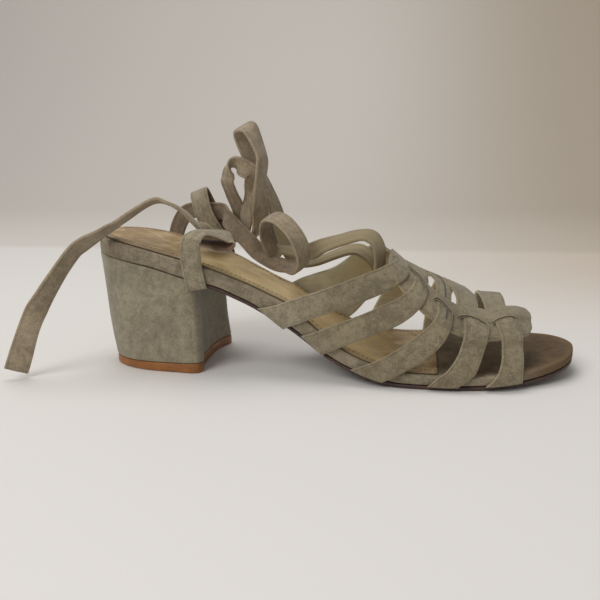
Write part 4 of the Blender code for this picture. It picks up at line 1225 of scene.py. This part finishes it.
def fine_cord(name, places, ends, radius, material):
    """A thin round cord laid along a row of places, thinned to its ends."""
    tangents = np.gradient(places, axis=0)
    rings = []
    route = []
    along = run_along(places)
    for place, tangent, out, a in zip(places, tangents, ends, along):
        side = np.cross(tangent, out)
        side /= np.linalg.norm(side)
        own = radius * (0.35 + 0.65 * min(1.0, 6 * a / along[-1], 6 * (1 - a / along[-1])))
        turns = np.radians(np.arange(0, 360, 36))
        rings.append(place + own * (np.outer(np.cos(turns), side) + np.outer(np.sin(turns), out)))
        route.append([(a, 0.003)] * len(turns))
    piece = wrapped_grid(name, rings, route, [material])


# The cords along a slit: name, degrees beside it, height over the arch, radius, finish.
SLIT_CORDS = (
    ("lip", 0.9, 0.00105, 0.00058, strap_suede),
    ("slit", 0.0, 0.00140, 0.00028, slit_shadow),
    ("rim", -0.75, 0.00132, 0.00030, strap_suede),
)


def build_slit_lip(name, rows):
    """The lip of one slit: a piped edge on the spine, and a dark cord, a painted shadow, where the strap goes
    in under it.
    """
    table = scaled(rows, SOLE_LENGTH, 1)
    path = smooth_path(table, 6)
    for part, shift, stand, radius, material in SLIT_CORDS:
        degrees = path[:, 1] + shift
        normals = arch_normals(path[:, 0], degrees)
        places = arch_points(path[:, 0], degrees) + normals * stand
        fine_cord("slit_" + part + "_" + name, places, normals, radius, material)


def build_rear_loop(name, rows, seed, faces):
    rows = [(*row, 1.0) for row in rows]
    piece, _, _ = route_band(name + "_band", rows, LOOP_WIDTH, LOOP_THICKNESS, 9, faces, seed, curl=0.0004)
    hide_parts(name)


place_camera()
build_tie("inner_tie", INNER_TIE, 1.3, [shaded_tie_lining, tie_suede])
build_tie("outer_tie", OUTER_TIE, 5.7, [tie_suede])
build_outsole()
build_insole()
build_sock()
build_heel()
build_top_piece()
build_spine()
for strap_name in STRAPS:
    build_strap(strap_name)
for strap_name, lip_rows in SLIT_LIPS.items():
    build_slit_lip(strap_name, lip_rows)
build_rear_loop("outer_rear_loop", OUTER_LOOP, 2.2, [strap_suede, shaded_loop_lining])
build_rear_loop("inner_rear_loop", INNER_LOOP, 8.1, [shaded_loop_lining, strap_suede])


# The floor and the light.

FLOOR_PAINT = (0.80, 0.785, 0.77)
WALL_PAINT = (0.72, 0.69, 0.655)
WARM_FLOOR = (0.62, 0.53, 0.43)
WARM_WALL = (0.55, 0.485, 0.40)
FLOOR_HALF_WIDTH = 3.0
FLOOR_FRONT = 1.5
FLOOR_RUN = 3.4
FLOOR_BACK = 0.75
WALL_CURVE = 0.45


def pale_floor():
    """A pale table top that turns up softly behind into a wall."""
    body = bmesh.new()
    depth = 48
    bmesh.ops.create_grid(body, x_segments=2, y_segments=depth, size=1.0)
    for vertex in body.verts:
        share = (vertex.co.y + 1) / 2
        run = share * FLOOR_RUN - FLOOR_FRONT
        rise = max(0.0, run - FLOOR_BACK)
        bend = min(rise / WALL_CURVE, math.pi / 2)
        back = FLOOR_BACK + WALL_CURVE * math.sin(bend)
        up = WALL_CURVE * (1 - math.cos(bend)) + max(0.0, rise - WALL_CURVE * math.pi / 2)
        on_floor = run < FLOOR_BACK
        height = 0.0 if on_floor else up
        vertex.co = Vector((vertex.co.x * FLOOR_HALF_WIDTH, run if on_floor else back, height))
        vertex.co.z -= 0.00002
    for face in body.faces:
        face.smooth = True
    mesh = bpy.data.meshes.new("floor")
    body.to_mesh(mesh)
    body.free()
    floor = bpy.data.objects.new("floor", mesh)
    bpy.context.scene.collection.objects.link(floor)
    material = bpy.data.materials.new("floor_paint")
    material.use_nodes = True
    tree = material.node_tree
    shader = tree.nodes["Principled BSDF"]
    spot = axes_of(tree, tree.nodes.new("ShaderNodeTexCoord").outputs["Object"])
    upright = between(tree, spot["Y"], 0.345, 0.375)
    across = between(tree, spot["X"], -0.05, 0.45)
    away = between(tree, spot["Y"], 0.0, 0.28)
    table = mixed(tree, maths(tree, "MULTIPLY", across, away), FLOOR_PAINT, WARM_FLOOR)
    wall = mixed(tree, across, WALL_PAINT, WARM_WALL)
    tree.links.new(mixed(tree, upright, table, wall), shader.inputs["Base Color"])
    shader.inputs["Roughness"].default_value = 0.6
    mesh.materials.append(material)


def area_light(name, place, size, watts, colour):
    data = bpy.data.lights.new(name, "AREA")
    data.shape = "DISK"
    data.size = size
    data.energy = watts
    data.color = colour
    lamp = bpy.data.objects.new(name, data)
    lamp.location = place
    lamp.rotation_euler = (Vector((0.08, 0, 0.03)) - Vector(place)).to_track_quat("-Z", "Y").to_euler()
    bpy.context.scene.collection.objects.link(lamp)


def soft_light():
    world = bpy.data.worlds.new("room")
    bpy.context.scene.world = world
    world.use_nodes = True
    sky = world.node_tree.nodes["Background"]
    sky.inputs["Color"].default_value = (1.0, 0.98, 0.95, 1)
    sky.inputs["Strength"].default_value = 0.36
    area_light("window", (-0.45, -0.80, 0.95), 0.8, 7.0, (1.0, 0.98, 0.95))
    area_light("ceiling", (-0.10, 0.30, 1.25), 0.8, 5.5, (1.0, 0.97, 0.93))
    bpy.context.scene.view_settings.view_transform = "Standard"


pale_floor()
soft_light()
